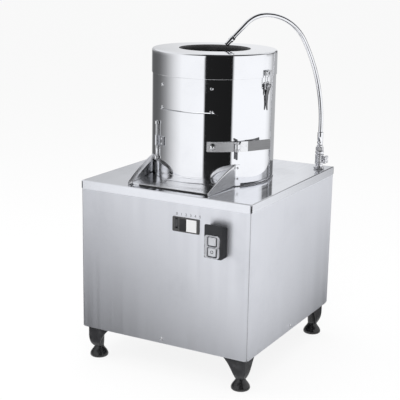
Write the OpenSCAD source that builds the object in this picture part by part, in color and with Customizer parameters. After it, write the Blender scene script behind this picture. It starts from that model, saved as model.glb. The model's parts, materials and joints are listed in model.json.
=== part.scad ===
// Electric potato peeler: a mirror-polished abrasive drum on a sheet-steel cabinet that holds the drive.
// Origin on the floor under the middle of the cabinet, +X to the right, +Y to the rear, +Z up. Millimetres.

/* [Cabinet] */
// Width of the cabinet, left to right
cab_w = 530; // [500:1:560]
// Depth of the cabinet, front to rear
cab_d = 565; // [545:1:600]
// Height of the cabinet, from the lower edge of its panels to the deck
cab_h = 433; // [420:1:480]
// Thickness of the steel sheet
sheet = 1.5; // [1:0.1:2.5]
// Depth of the folded rim round the deck
rim_h = 24; // [16:1:34]
// Width of the open slot at each corner of the deck's rim
rim_slot = 4.5; // [3:0.5:8]
// Leg of the steel angle that the inner frame is welded from
angle_w = 30; // [26:1:34]
// Thickness of the steel angle
angle_t = 3; // [2:0.5:4]

/* [Legs and feet] */
// Height of a cast leg
leg_h = 62; // [56:1:80]
// Height of a levelling foot below its leg
foot_h = 33; // [28:1:42]
// Width of a leg's two webs at the top
leg_w = 66; // [56:1:76]
// Distance from the cabinet's corner to a leg
leg_inset = 12; // [8:1:20]
// Wall of the cast leg
leg_t = 6; // [4:0.5:9]
// Diameter of a foot's pad
pad_d = 53; // [44:1:60]
// Diameter of a foot's threaded stem
stem_d = 12; // [10:0.5:16]

/* [Drum] */
// Outer diameter of the drum
drum_d = 350; // [330:1:360]
// Thickness of the drum's wall
drum_wall = 2; // [1.5:0.1:3]
// Sideways place of the drum's axis on the deck
drum_x = 2; // [-6:0.5:6]
// Front-to-rear place of the drum's axis on the deck
drum_y = -6; // [-10:0.5:4]
// Height of the cap's flat top above the deck
cap_top_h = 363; // [350:1:400]
// Height of the cap's side
cap_h = 70; // [60:1:80]
// Radius of the cap's outer edge
cap_round = 8; // [5:0.5:12]
// Inner diameter of the filling mouth
mouth_d = 190; // [170:1:205]
// Radius of the mouth's rolled lip
lip_round = 10; // [7:0.5:14]
// Thickness of the abrasive liner
liner_t = 5.5; // [4:0.5:8]

/* [Discharge door] */
// Left edge of the door, as an angle round the drum where -90 faces the front
door_left = -120.5; // [-122:0.5:-116]
// Right edge of the door
door_right = -58.5; // [-62:0.5:-56]
// Height of the door's lower edge above the deck
door_low = 24; // [22:1:28]
// Height of the door plate
door_h = 178; // [165:1:190]
// How far the door plate laps over its opening
door_lap = 8; // [6:0.5:10]
// Height of the strap and of the latch handle
strap_h = 28; // [22:1:34]
// Height of the strap's middle above the deck
strap_z = 112.5; // [100:0.5:125]
// Angle of the hinge rod round the drum
rod_angle = -122.5; // [-124:0.5:-122]
// Diameter of the hinge rod
rod_d = 7; // [5:0.5:8]
// Length of the hinge rod
rod_l = 107; // [90:1:125]
// Angle of the latch pin round the drum
pin_angle = -41; // [-44:0.5:-38]
// Diameter of the latch pin
pin_d = 6; // [4:0.5:7]
// Length of the latch handle, from its pin to its bend
handle_l1 = 30; // [24:1:36]
// Length of the latch handle's grip, beyond its bend
handle_l2 = 77; // [60:1:90]

/* [Discharge chute] */
// Half of the chute's width at the drum
chute_w1 = 133; // [128:1:138]
// Half of the chute's width at its front
chute_w2 = 126; // [118:1:130]
// How far the chute's wings reach in front of the drum's axis
chute_reach = 256; // [240:1:268]
// Height of the wings at the drum
wing_h = 62; // [50:1:70]

/* [Cap clamps] */
// Angle of the right clamp round the drum, the left one is opposite
clamp_angle = -7; // [-14:1:4]
// Depth of the clamp levers' pivot below the cap's lower edge
clamp_drop = 21; // [15:1:27]
// Length of a clamp lever
lever_l = 68; // [50:1:75]
// Height of the hook's seat above the lever's pivot
hook_rise = 42; // [38:1:48]

/* [Peeling disc] */
// Gap between the abrasive disc and the liner round it
disc_gap = 5.2; // [3:0.1:14]
// Height of the disc's flat top above the deck
disc_z = 28; // [26:1:30]
// Thickness of the abrasive layer
disc_t = 10; // [8:0.5:12]
// Number of raised waves on the disc
disc_waves = 3; // [2:1:4]
// Height of a wave
wave_h = 12; // [8:0.5:16]
// Diameter of the drain basin under the disc
basin_d = 298; // [290:1:304]
// Depth of the drain basin below the deck
basin_h = 48; // [44:1:54]

/* [Drive] */
// Diameter of the main shaft
shaft_d = 20; // [16:1:24]
// Outer diameter of a shaft bearing
bearing_d = 47; // [42:1:50]
// Width of a shaft bearing
bearing_w = 14; // [12:1:16]
// Diameter of the driven pulley
big_pulley_d = 200; // [170:2:204]
// Diameter of the motor's pulley
small_pulley_d = 60; // [50:2:72]
// Distance from the main shaft to the motor's shaft
belt_centres = 190; // [186:1:200]
// Diameter of the motor's body
motor_d = 136; // [120:2:146]
// Length of the motor's body
motor_l = 186; // [160:2:190]
// Diameter of the motor's shaft
motor_shaft_d = 18; // [14:1:22]
// Outer diameter of the drain pipe
drain_d = 36; // [30:1:40]

/* [Controls] */
// Width of the timer's bezel
timer_w = 82; // [76:1:90]
// Height of the timer's bezel
timer_h = 41; // [36:1:46]
// Sideways place of the timer's middle
timer_x = 72; // [64:1:76]
// Height of the timer's middle above the panels' lower edge
timer_z = 351; // [340:1:360]
// Width of the switch housing
switch_w = 54; // [50:1:58]
// Height of the switch housing
switch_h = 93; // [88:1:100]
// How far the switch housing stands out of the front panel
switch_out = 30; // [26:1:36]
// Sideways place of the switch's middle
switch_x = 169; // [162:1:176]
// Height of the switch's middle above the panels' lower edge
switch_z = 326; // [315:1:335]
// Travel of a push button
press_l = 3; // [2:0.5:4]
// Width of a push button
button_w = 23; // [20:0.5:25]

/* [Water supply] */
// Distance of the water valve from the deck's right edge
valve_side = 27; // [25:0.5:31]
// Distance of the water valve from the deck's rear edge
valve_back = 54.5; // [48.5:1:60.5]
// Outer diameter of the spout
spout_d = 13; // [11:0.5:15]
// Bore of the spout
spout_bore = 10; // [8:0.5:10.5]
// Height above the deck where the spout starts to bend
spout_rise = 129; // [120:1:150]
// Radius of the spout's long lower bend
bend_1 = 527; // [500:1:560]
// Radius of the bend up to the spout's highest point
bend_2 = 135; // [125:1:145]
// Radius of the bend down to the mouth
bend_3 = 84; // [74:1:94]
// Length of the spout's straight end
spout_end = 82; // [70:1:92]
// Diameter of the tap's knob
knob_d = 28; // [24:1:32]

/* [Hidden] */
$fn = 64;
fn_drum = 160;        // sides of the drum's large rounds in the preview mesh
seat = 0.3;           // gap between two pieces that move past each other
fit = 0.05;           // radial clearance of a pin or shaft in its hole
skin = 0.1;           // gap under a curved plate that lies on the drum

z_panel = foot_h + leg_h;                // lower edge of the panels
z_deck = z_panel + cab_h;                // top of the deck
z_cap = z_deck + cap_top_h;              // top of the cap
panel_in = sheet + seat;                 // the panels stand this far inside the deck's rim
frame_x = cab_w/2 - panel_in - sheet;    // outer faces of the inner frame
frame_y = cab_d/2 - panel_in - sheet;
deck_under = z_deck - sheet;
bend_r = 3;                              // outer radius of a folded edge
screw_h = 13.5;                          // the panels' screws stand this far above the lower edge

drum_r = drum_d/2;
cap_r = drum_r + 0.4 + sheet;            // outer radius of the cap
cap_low = z_cap - cap_h;
cap_step = cap_low + 25;                 // the drum's upper end, which carries the cap
liner_r = drum_r - drum_wall - seat;     // outer radius of the liner
bore_r = liner_r - liner_t;              // inner radius of the peeling chamber
disc_r = bore_r - disc_gap;              // radius of the abrasive disc
door_z0 = z_deck + door_low;
door_z1 = door_z0 + door_h;
door_r0 = drum_r + 0.4;
door_r1 = door_r0 + 1.2;
door_side = 3;                           // degrees that the door laps over its opening
strap_z0 = z_deck + strap_z - strap_h/2;
strap_z1 = strap_z0 + strap_h;
strap_t = 2.5;
strap_r = door_r1 + skin;
barrel_t = 2;                            // wall of a hinge barrel
rod_r = drum_r + rod_d/2 + barrel_t + 0.5;
pin_r = drum_r + pin_d/2 + 3 + 1;
pin_barrel = pin_d/2 + 3;
bend_turn = 12;                          // the latch handle's grip turns this far towards the drum

clamp_r = drum_r + 7;                    // radius of the levers' pivots
clamp_top = cap_low - clamp_drop;
bail_d = 2.6;
bail_pin = [-1.5, -8];                   // the bail's pivot, outwards and up from the lever's
bail_half = 14;                          // half of the bail's width
hook_z = clamp_top + hook_rise;          // middle of the bail's cross bar
lever_w = 13;

disc_top = z_deck + disc_z;
plate_top = disc_top - disc_t;           // the steel carrier under the abrasive
plate_t = 6;
basin_r = basin_d/2;
basin_z = z_deck - basin_h;              // underside of the basin
shaft_r = shaft_d/2;
housing_r = bearing_d/2 + 10;
flange_t = 8;
pulley_w = 25;
pulley_z = basin_z - 95;                 // underside of both pulleys
belt_z = pulley_z + pulley_w/2;
groove_h = 10;                           // depth of the pulleys' grooves
belt_h = 8;
belt_wide = 12.6;
belt_thin = 8;
motor_y = drum_y + belt_centres;
rail_z = pulley_z - 39;                  // underside of the rails that carry the motor
motor_top = rail_z;
drain_off = basin_r - drain_d/2 - 4;     // from the main shaft to the drain pipe
drain_turn = 45;                         // middle radius of the drain pipe's elbow
drain_z = z_panel + 60;

front_y = -cab_d/2 + panel_in;           // outer face of the front panel
rear_y = cab_d/2 - panel_in;
side_x = cab_w/2 - panel_in;
cover_out = 4;                           // the buttons' cover stands this far out of the housing
switch_face = front_y - switch_out;
reach_y = -(switch_face - cover_out);    // the rear spigots reach as far back as the switch reaches forward
timer_out = 3;
timer_mid = [timer_x, z_panel + timer_z];
switch_mid = [switch_x, z_panel + switch_z];
button_x = switch_x - 2;
start_z = z_panel + switch_z + 1.5;
stop_z = start_z - 29;
button_depth = 12;
pocket_y = switch_face + 1 + button_depth + press_l + 1;

valve_top = z_deck + 56;
valve_x = cab_w/2 - valve_side;
valve_y = cab_d/2 - valve_back;
tail_r = 8;                              // the valve's tail, which passes through the deck
tail_turn = 16;                          // middle radius of the elbow that turns it to the rear
tail_z = z_deck - 56;                    // height at which it leaves through the rear panel
stem_z = z_deck + 30;
spout_r = spout_d/2;
spout_base = z_deck + 58;
spout_dir = atan2(drum_y - valve_y, drum_x - valve_x) + 1.5;
turn_1 = 61;                             // slopes of the spout at the ends of its bends, in degrees
turn_2 = 0;
turn_3 = -45;
post = [for (sx = [-1, 1], sy = [-1, 1]) [sx, sy]];

// ---- helpers ----

// a place on the drum's side: local +X points outwards, +Y runs round the drum, +Z up
module polar(a, r, z = 0)
    translate([drum_x + r*cos(a), drum_y + r*sin(a), z]) rotate([0, 0, a]) children();

module at_drum(z = 0) translate([drum_x, drum_y, z]) children();

// part of a ring round the drum's axis, between two radii, two angles and two heights
module arc_wall(r0, r1, a0, a1, z0, z1)
    at_drum() rotate([0, 0, a0]) rotate_extrude(angle = a1 - a0, $fn = fn_drum)
        translate([r0, z0]) square([r1 - r0, z1 - z0]);

module tube(r, bore, h) difference() {
    cylinder(r = r, h = h);
    translate([0, 0, -1]) cylinder(r = bore, h = h + 2);
}

// a rectangle with round corners, its middle at the origin
module round_rect(w, h, r) {
    square([w - 2*r, h], center = true);
    square([w, h - 2*r], center = true);
    for (x = [-1, 1], y = [-1, 1])
        translate([x*(w/2 - r), y*(h/2 - r)]) circle(r = r, $fn = 32);
}

// a cross-section of the deck: flat top at the origin's height and round upper corners
module folded_section(w, h, r) {
    translate([-w/2, -h]) square([w, h - r]);
    translate([-w/2 + r, -h]) square([w - 2*r, h]);
    for (x = [-1, 1]) translate([x*(w/2 - r), -r]) circle(r = r, $fn = 48);
}

module folded_block(w, d, h, r) intersection() {
    rotate([90, 0, 0]) translate([0, 0, -d/2]) linear_extrude(d) folded_section(w, h, r);
    rotate([90, 0, 90]) translate([0, 0, -w/2]) linear_extrude(w) folded_section(d, h, r);
}

// a domed screw head on a flat seat, standing along +Z
module dome_head(d, h) intersection() {
    cylinder(d = d, h = h, $fn = 32);
    translate([0, 0, h - d*0.75]) sphere(r = d*0.75, $fn = 48);
}

module ring_2d(r, t) difference() {
    circle(r = r, $fn = 64);
    circle(r = r - t, $fn = 64);
}

// ---- cabinet ----

module deck_panel() color("gainsboro") difference() {
    translate([0, 0, z_deck]) folded_block(cab_w, cab_d, rim_h, bend_r);
    translate([0, 0, deck_under]) folded_block(cab_w - 2*sheet, cab_d - 2*sheet, rim_h, bend_r - sheet);
    for (p = post)
        translate([p[0]*cab_w/2, p[1]*cab_d/2, z_deck - bend_r - rim_h/2])
            cube([2*rim_slot, 2*rim_slot, rim_h], center = true);
    at_drum(deck_under - 1) cylinder(r = basin_r - 1, h = sheet + 2, $fn = fn_drum);
    translate([valve_x, valve_y, deck_under - 1]) cylinder(r = tail_r + seat, h = sheet + 2);
}

panel_h = deck_under - bend_r - z_panel;

// a panel's outline, standing on its lower edge, with round lower corners
module panel_outline(w) {
    translate([-w/2, 10]) square([w, panel_h - 10]);
    translate([-w/2 + 10, 0]) square([w - 20, panel_h]);
    for (x = [-1, 1]) translate([x*(w/2 - 10), 10]) circle(r = 10, $fn = 48);
}

module front_panel() color("silver")
    translate([0, front_y + sheet, z_panel]) rotate([90, 0, 0]) linear_extrude(sheet) difference() {
        panel_outline(cab_w - 2*panel_in);
        translate([timer_x, timer_z]) square([timer_w - 8, timer_h - 6], center = true);
        translate([switch_x, switch_z]) square([switch_w - 14, switch_h - 20], center = true);
        translate([0, screw_h]) circle(r = 2.5, $fn = 32);
    }

module rear_panel() color("silver")
    translate([0, rear_y, z_panel]) rotate([90, 0, 0]) linear_extrude(sheet) difference() {
        panel_outline(cab_w - 2*panel_in);
        translate([drum_x - drain_off, drain_z - z_panel]) circle(r = drain_d/2 + 1);
        translate([gland_x, drain_z - z_panel]) circle(r = gland_r + fit, $fn = 48);
        translate([valve_x, tail_z - z_panel]) circle(r = tail_r + 1, $fn = 48);
        translate([0, screw_h]) circle(r = 2.5, $fn = 32);
        for (i = [0:6], s = [-1, 1]) translate([s*22 + 60, 185 + 16*i]) slot_2d(34, 5);
    }

// a cooling slot with round ends
module slot_2d(l, h) {
    square([l - h, h], center = true);
    for (s = [-1, 1]) translate([s*(l - h)/2, 0]) circle(d = h, $fn = 32);
}

module side_panel(s) color("lightgray")
    translate([s > 0 ? side_x - sheet : -side_x, 0, z_panel]) rotate([90, 0, 90]) linear_extrude(sheet)
        difference() {
            panel_outline(cab_d - 2*panel_in - 2*sheet - 2*seat);
            translate([0, screw_h]) circle(r = 2.5, $fn = 32);
        }

// a steel angle along X or Y: one leg flat, the other upright, the upright's outer face at side s
module angle_x(x0, x1, y, z, s, up)
    translate([x0, 0, 0]) {
        translate([0, s > 0 ? y - angle_w : y, up > 0 ? z : z + angle_w - angle_t])
            cube([x1 - x0, angle_w, angle_t]);
        translate([0, s > 0 ? y - angle_t : y, z]) cube([x1 - x0, angle_t, angle_w]);
    }

module angle_y(y0, y1, x, z, s, up)
    translate([0, y0, 0]) {
        translate([s > 0 ? x - angle_w : x, 0, up > 0 ? z : z + angle_w - angle_t])
            cube([angle_w, y1 - y0, angle_t]);
        translate([s > 0 ? x - angle_t : x, 0, z]) cube([angle_t, y1 - y0, angle_w]);
    }

bearing_rail_y = 70;     // the two rails under the bearing housing stand this far from the shaft
motor_rail_y = 60;       // and the two over the motor this far from its shaft

module cabinet_frame() color("darkgray") difference() {
    union() {
        for (p = post) {
            translate([p[0] > 0 ? frame_x - angle_w : -frame_x,
                p[1] > 0 ? frame_y - angle_t : -frame_y, z_panel])
                cube([angle_w, angle_t, deck_under - z_panel]);
            translate([p[0] > 0 ? frame_x - angle_t : -frame_x,
                p[1] > 0 ? frame_y - angle_w : -frame_y, z_panel])
                cube([angle_t, angle_w, deck_under - z_panel]);
        }
        for (s = [-1, 1]) {
            angle_x(-frame_x, frame_x, s*frame_y, z_panel, s, 1);
            angle_x(-frame_x, frame_x, s*frame_y, deck_under - angle_w, s, -1);
            angle_y(-frame_y, frame_y, s*frame_x, z_panel, s, 1);
            angle_y(-frame_y, frame_y, s*frame_x, deck_under - angle_w, s, -1);
            angle_y(-frame_y, frame_y, s*frame_x, basin_z - flange_t - angle_w, s, 1);
            angle_y(-frame_y, frame_y, s*frame_x, rail_z, s, 1);
            angle_x(-frame_x + 1, frame_x - 1, drum_y + s*(bearing_rail_y + angle_w/2),
                basin_z - flange_t - angle_w, s, -1);
            angle_x(-frame_x + 1, frame_x - 1, motor_y + s*(motor_rail_y + angle_w/2), rail_z, s, 1);
        }
    }
    translate([valve_x, valve_y, deck_under - angle_w]) cylinder(r = tail_r + 2*seat, h = angle_w + 2);
    translate([valve_x, frame_y - angle_w, tail_z]) rotate([-90, 0, 0])
        cylinder(r = tail_r + 2*seat, h = angle_w + 1);
    screw_places() translate([0, 0, -8]) cylinder(r = 3, h = 8, $fn = 32);
}

// ---- legs and feet ----

// a web's outline: wide at the top, curving in towards the foot, its outer edge at zero
module web_outline() difference() {
    square([leg_w, leg_h]);
    translate([leg_w + 62, -14]) circle(r = 94, $fn = 96);
    translate([-9, -9]) difference() {
        square([17, 17]);
        translate([17, 17]) circle(r = 8, $fn = 48);
    }
}

boss_off = 22;      // from a leg's outer corner to its foot's axis

module leg(p) color([0.24, 0.24, 0.25])
    translate([p[0]*(cab_w/2 - leg_inset), p[1]*(cab_d/2 - leg_inset), foot_h])
        mirror([p[0] > 0 ? 1 : 0, 0, 0]) mirror([0, p[1] > 0 ? 1 : 0, 0]) difference() {
            union() {
                rotate([90, 0, 0]) translate([0, 0, -leg_t]) linear_extrude(leg_t) web_outline();
                rotate([90, 0, 90]) linear_extrude(leg_t) web_outline();
                translate([0, 0, leg_h - leg_t]) cube([leg_w, leg_w, leg_t]);
                translate([boss_off, boss_off, 0]) cylinder(r = 15, h = leg_h - leg_t);
                translate([leg_t/2, leg_t/2, 2])
                    cube([boss_off - leg_t/2, boss_off - leg_t/2, leg_h - leg_t]);
            }
            translate([boss_off, boss_off, -1]) cylinder(r = stem_d/2 + fit, h = leg_h - leg_t);
        }

// a rubber foot: wide round pad, narrow neck and the steel stem that screws into the leg
module foot(p) color([0.08, 0.08, 0.09])
    translate([p[0]*(cab_w/2 - leg_inset - boss_off), p[1]*(cab_d/2 - leg_inset - boss_off), 0]) {
        rotate_extrude($fn = 64) {
            square([pad_d/2 - 6, 12]);
            translate([0, 4]) square([pad_d/2 - 1.3, 6]);
            translate([pad_d/2 - 6, 6]) circle(r = 6, $fn = 48);
            difference() {
                translate([0, 6]) square([pad_d/2 - 2, foot_h - 6 - seat]);
                translate([pad_d/2 + 3, foot_h + 2]) circle(r = pad_d/2 - 10, $fn = 96);
                translate([pad_d/2 - 8, foot_h - 12]) square([20, 20]);
            }
        }
        translate([0, 0, 10]) cylinder(r = stem_d/2, h = foot_h + leg_h - leg_t - 16, $fn = 48);
    }

// the middle of each panel's lower edge, where one screw holds it: +Z points outwards
module screw_places() for (s = [-1, 1]) {
    translate([0, s > 0 ? rear_y : front_y, z_panel + screw_h]) rotate([s > 0 ? -90 : 90, 0, 0]) children();
    translate([s*side_x, 0, z_panel + screw_h]) rotate([0, s*90, 0]) children();
}

module panel_screws() color("gainsboro") screw_places() {
    dome_head(10, 3);
    translate([0, 0, -6]) cylinder(r = 2.4, h = 7, $fn = 32);
}

// ---- drum ----

open_a0 = door_left + door_side;
open_a1 = door_right - door_side;
open_z0 = door_z0 + door_lap;
open_z1 = door_z1 - door_lap;

module drum_shell() color("whitesmoke") difference() {
    at_drum(z_deck) tube_big(drum_r, drum_r - drum_wall, cap_step - z_deck);
    arc_wall(drum_r - drum_wall - 2, drum_r + 2, open_a0, open_a1, open_z0, open_z1);
}

module tube_big(r, bore, h) difference() {
    cylinder(r = r, h = h, $fn = fn_drum);
    translate([0, 0, -1]) cylinder(r = bore, h = h + 2, $fn = fn_drum);
}

module drum_liner() color("dimgray") difference() {
    at_drum(z_deck) tube_big(liner_r, bore_r, cap_step - z_deck - 2);
    arc_wall(bore_r - 2, liner_r + 2, open_a0, open_a1, open_z0, open_z1);
}

// half of the cap's section: side wall, round edge, flat top and the lip rolled down into the mouth
module cap_section() {
    lip_x = mouth_d/2 + lip_round;
    translate([cap_r - sheet, cap_low]) square([sheet, cap_h - cap_round]);
    translate([cap_r - cap_round, z_cap - cap_round]) intersection() {
        ring_2d(cap_round, sheet);
        square([cap_round, cap_round]);
    }
    translate([lip_x, z_cap - sheet]) square([cap_r - cap_round - lip_x, sheet]);
    translate([lip_x, z_cap - lip_round]) intersection() {
        ring_2d(lip_round, sheet);
        translate([-lip_round, 0]) square([lip_round, lip_round]);
    }
    translate([mouth_d/2, z_cap - lip_round - 8]) square([sheet, 8]);
    translate([drum_r - drum_wall - 1, cap_step]) square([cap_r - drum_r + drum_wall + 1 - sheet/2, 2]);
}

module top_cap() color("white") at_drum() rotate_extrude($fn = fn_drum) cap_section();

screw_angle = 26;      // the four screws on the drum's front stand this far to each side
screw_up = cap_low - z_deck - 23;         // heights of these screws above the deck
screw_low = door_low + door_h + 5.5;
drum_screw_list = [[-90 - screw_angle, screw_up], [-90 + screw_angle, screw_up],
    [-90 - screw_angle, screw_low], [-90 + screw_angle, screw_low]];
flange_a0 = 36;        // the wings' flanges end this far from the drum's sides
flange_screw_list = [[-39, 52], [-39, 22], [-141, 52], [-141, 22]];

module drum_screws() color("gainsboro") {
    difference() {
        for (s = drum_screw_list) polar(s[0], drum_r - 1, z_deck + s[1]) rotate([0, 90, 0]) dome_head(9, 3.8);
        at_drum(z_deck) cylinder(r = drum_r + skin/2, h = cap_top_h, $fn = fn_drum);
    }
    difference() {
        for (s = flange_screw_list) polar(s[0], drum_r + 0.3, z_deck + s[1])
            rotate([0, 90, 0]) dome_head(6, 3.4);
        at_drum(z_deck) cylinder(r = wing_flange_r + skin/2, h = cap_top_h, $fn = fn_drum);
    }
}

// ---- discharge chute ----

wing_t = 1.5;
wing_flange_r = drum_r + 1.3;  // outer radius of the wings' flanges on the drum
floor_z = z_deck + 9.5;        // the floor's top at the drum
lip_z = z_deck + 3.5;          // and at its front edge
floor_y = drum_y - chute_reach + 12;
wing_y = drum_y - chute_reach;
wing_lean = atan2(chute_w1 - chute_w2, chute_reach - 113);

// the wing's side outline, y forward from the drum's axis to the right, z up from the deck
module wing_outline() polygon([[100, 0.5], [100, wing_h], [114, wing_h],
    [154, wing_h - 10], [194, wing_h - 24],
    [226, wing_h - 38], [chute_reach, 8], [chute_reach - 2, 0.5]]);

module wing(s) intersection() {
    difference() {
        translate([s*chute_w1, -113, 0]) rotate([0, 0, s*-wing_lean])
            translate([s > 0 ? -wing_t : 0, 113, z_deck])
            rotate([0, 0, -90]) rotate([90, 0, 0]) linear_extrude(wing_t) wing_outline();
        translate([0, 0, z_deck - 1]) cylinder(r = drum_r + skin, h = wing_h + 10, $fn = fn_drum);
    }
    translate([-cab_w/2, -cab_d/2, z_deck]) cube([cab_w, cab_d/2, wing_h + 1]);
}

module discharge_chute() color("gainsboro") {
    at_drum() for (s = [-1, 1]) wing(s);
    intersection() {
        translate([-cab_w/2, 0, 0]) rotate([90, 0, 90]) linear_extrude(cab_w)
            polygon([[drum_y - 100, floor_z + 1], [floor_y + 1.5, lip_z], [floor_y, lip_z - 3],
                [floor_y + 1.5, lip_z - 3], [floor_y + 2.5, lip_z - 1.6], [drum_y - 100, floor_z - 0.6]]);
        at_drum(z_deck) linear_extrude(30) polygon([[-chute_w1 + 0.5, -100], [chute_w1 - 0.5, -100],
            [chute_w2, -chute_reach], [-chute_w2, -chute_reach]]);
        difference() {
            at_drum(z_deck) cylinder(r = 400, h = 30, $fn = 64);
            at_drum(z_deck - 1) cylinder(r = drum_r + skin, h = 40, $fn = fn_drum);
        }
    }
    flange_in = atan2(sqrt(drum_r*drum_r - chute_w1*chute_w1), chute_w1) + 1;
    arc_wall(drum_r + skin, wing_flange_r, -flange_in, -flange_a0, z_deck + 2, z_deck + wing_h - 1);
    arc_wall(drum_r + skin, wing_flange_r, -180 + flange_a0, -180 + flange_in,
        z_deck + 2, z_deck + wing_h - 1);
}

// ---- door ----

module door_panel() color("white") arc_wall(door_r0, door_r1, door_left, door_right, door_z0, door_z1);

module door_liner() color("dimgray")
    arc_wall(bore_r, door_r0 - skin, open_a0 + 0.6, open_a1 - 0.6, open_z0 + 0.8, open_z1 - 0.8);

module door_hinge_leaf() color("gainsboro") difference() {
    union() {
        arc_wall(strap_r, strap_r + strap_t, rod_angle + 1, door_left + 9, strap_z0, strap_z1);
        polar(rod_angle, rod_r, strap_z0) cylinder(r = rod_d/2 + barrel_t, h = strap_h);
    }
    polar(rod_angle, rod_r, strap_z0 - 1) cylinder(r = rod_d/2 + fit, h = strap_h + 2, $fn = 48);
}

bracket_h = 8;

module hinge_rod() color("gainsboro") {
    polar(rod_angle, rod_r, strap_z0 + strap_h/2 - rod_l/2) cylinder(r = rod_d/2, h = rod_l, $fn = 48);
    for (s = [-1, 1]) difference() {
        polar(rod_angle, rod_r, strap_z0 + strap_h/2 + s*(rod_l/2 - bracket_h/2) - bracket_h/2) {
            cylinder(r = rod_d/2 + barrel_t, h = bracket_h);
            translate([-rod_r + drum_r - 1, -rod_d/2, 0]) cube([rod_r - drum_r + 1, rod_d/2 + 1, bracket_h]);
        }
        at_drum(z_deck) cylinder(r = drum_r + skin, h = cap_top_h, $fn = fn_drum);
    }
}

barrel_h = strap_h/4;     // the strap has a barrel at the top and one at the bottom of its end

module door_strap() color("gainsboro") difference() {
    union() {
        arc_wall(strap_r, strap_r + strap_t, door_right - 9, pin_angle - 2.2, strap_z0, strap_z1);
        polar(pin_angle, pin_r, strap_z0) {
            cylinder(r = pin_barrel, h = barrel_h);
            translate([-pin_barrel, -pin_barrel - 3, 0]) cube([strap_t + 1.2, pin_barrel + 3, barrel_h]);
        }
        polar(pin_angle, pin_r, strap_z1 - barrel_h) {
            cylinder(r = pin_barrel, h = barrel_h);
            translate([-pin_barrel, -pin_barrel - 3, 0]) cube([strap_t + 1.2, pin_barrel + 3, barrel_h]);
        }
    }
    polar(pin_angle, pin_r, strap_z0 - 1) cylinder(r = pin_d/2, h = strap_h + 2, $fn = 48);
    polar(pin_angle, pin_r, strap_z0 + barrel_h) cylinder(r = pin_barrel + seat, h = strap_h - 2*barrel_h);
}

module door_nuts() color("white") {
    polar(door_right - 4, strap_r + strap_t + skin/2, strap_z0 + strap_h/2) rotate([0, 90, 0]) {
        cylinder(r = 9, h = 2.5, $fn = 48);
        cylinder(r = 7.5, h = 5, $fn = 6);
        translate([0, 0, 4]) dome_head(12, 5);
    }
    difference() {
        for (s = [-1, 1]) polar(door_left + 5.5, strap_r + strap_t - 1, strap_z0 + strap_h/2 + s*strap_h/4)
            rotate([0, 90, 0]) dome_head(7, 3.2);
        at_drum(z_deck) cylinder(r = strap_r + strap_t + skin/2, h = cap_top_h, $fn = fn_drum);
    }
}

pin_tail = 22;

module latch_pin() color("dimgray") polar(pin_angle, pin_r, strap_z0 - pin_tail) {
    cylinder(r = pin_d/2, h = strap_h + pin_tail + 3, $fn = 48);
    translate([0, 0, strap_h + pin_tail]) cylinder(r = pin_d/2 + 1.5, h = 3.5, $fn = 48);
}

handle_t = 2.5;
root_l = pin_barrel + 1;       // the bar's full height starts here, clear of the strap's barrels

module latch_handle() color("silver") polar(pin_angle, pin_r, strap_z0) difference() {
    union() {
        translate([0, 0, barrel_h + seat]) cylinder(r = pin_barrel, h = strap_h - 2*barrel_h - 2*seat);
        translate([-handle_t/2, 0, barrel_h + seat])
            cube([handle_t, root_l + 1, strap_h - 2*barrel_h - 2*seat]);
        translate([-handle_t/2, root_l, 0]) cube([handle_t, handle_l1 - root_l, strap_h]);
        translate([0, handle_l1, 0]) {
            cylinder(r = handle_t/2, h = strap_h, $fn = 32);
            rotate([0, 0, bend_turn]) translate([handle_t/2, handle_l2/2, strap_h/2]) rotate([90, 0, -90])
                linear_extrude(handle_t) grip_outline();
        }
    }
    translate([0, 0, -1]) cylinder(r = pin_d/2 + fit, h = strap_h + 2, $fn = 48);
}

// the grip's outline, with its two free corners round
module grip_outline() {
    translate([-handle_l2/2, -strap_h/2]) square([handle_l2 - 4, strap_h]);
    translate([-handle_l2/2, -strap_h/2 + 4]) square([handle_l2, strap_h - 8]);
    for (s = [-1, 1]) translate([handle_l2/2 - 4, s*(strap_h/2 - 4)]) circle(r = 4, $fn = 32);
}

rest_at = 20;             // the handle's rest stands this far along the handle from its pin

module latch_rest() color("gainsboro") difference() {
    polar(pin_angle, pin_r, strap_z0 + strap_h/2) translate([0, rest_at, 0])
        translate([-handle_t/2 - seat - 9, -4, -8]) cube([9, 8, 16]);
    at_drum(z_deck) cylinder(r = drum_r + skin, h = cap_top_h, $fn = fn_drum);
}

// ---- cap clamps ----

ear_w = 2;
base_w = 26;

module clamp_base() difference() {
    union() {
        translate([drum_r - clamp_r - 2, -base_w/2, -26]) cube([4.4, base_w, 36]);
        for (s = [-1, 1]) translate([0, s*(lever_w/2 + seat) + (s < 0 ? -ear_w : 0), 0]) {
            rotate([-90, 0, 0]) cylinder(r = 4.4, h = ear_w, $fn = 48);
            translate([drum_r - clamp_r, 0, -4.4]) cube([clamp_r - drum_r, ear_w, 8.8]);
        }
        translate([0, -lever_w/2 - seat - ear_w, 0]) rotate([-90, 0, 0])
            cylinder(r = 2, h = lever_w + 2*seat + 2*ear_w, $fn = 32);
        for (z = [-21, 6]) translate([drum_r - clamp_r + 2, 0, z]) rotate([0, 90, 0]) dome_head(5, 1.8);
    }
    translate([-clamp_r, 0, -60]) cylinder(r = drum_r + skin, h = 120, $fn = fn_drum);
}

module clamp_bases() color("gainsboro") for (a = [0, 180])
    polar(clamp_angle + a, clamp_r, clamp_top) clamp_base();

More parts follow.
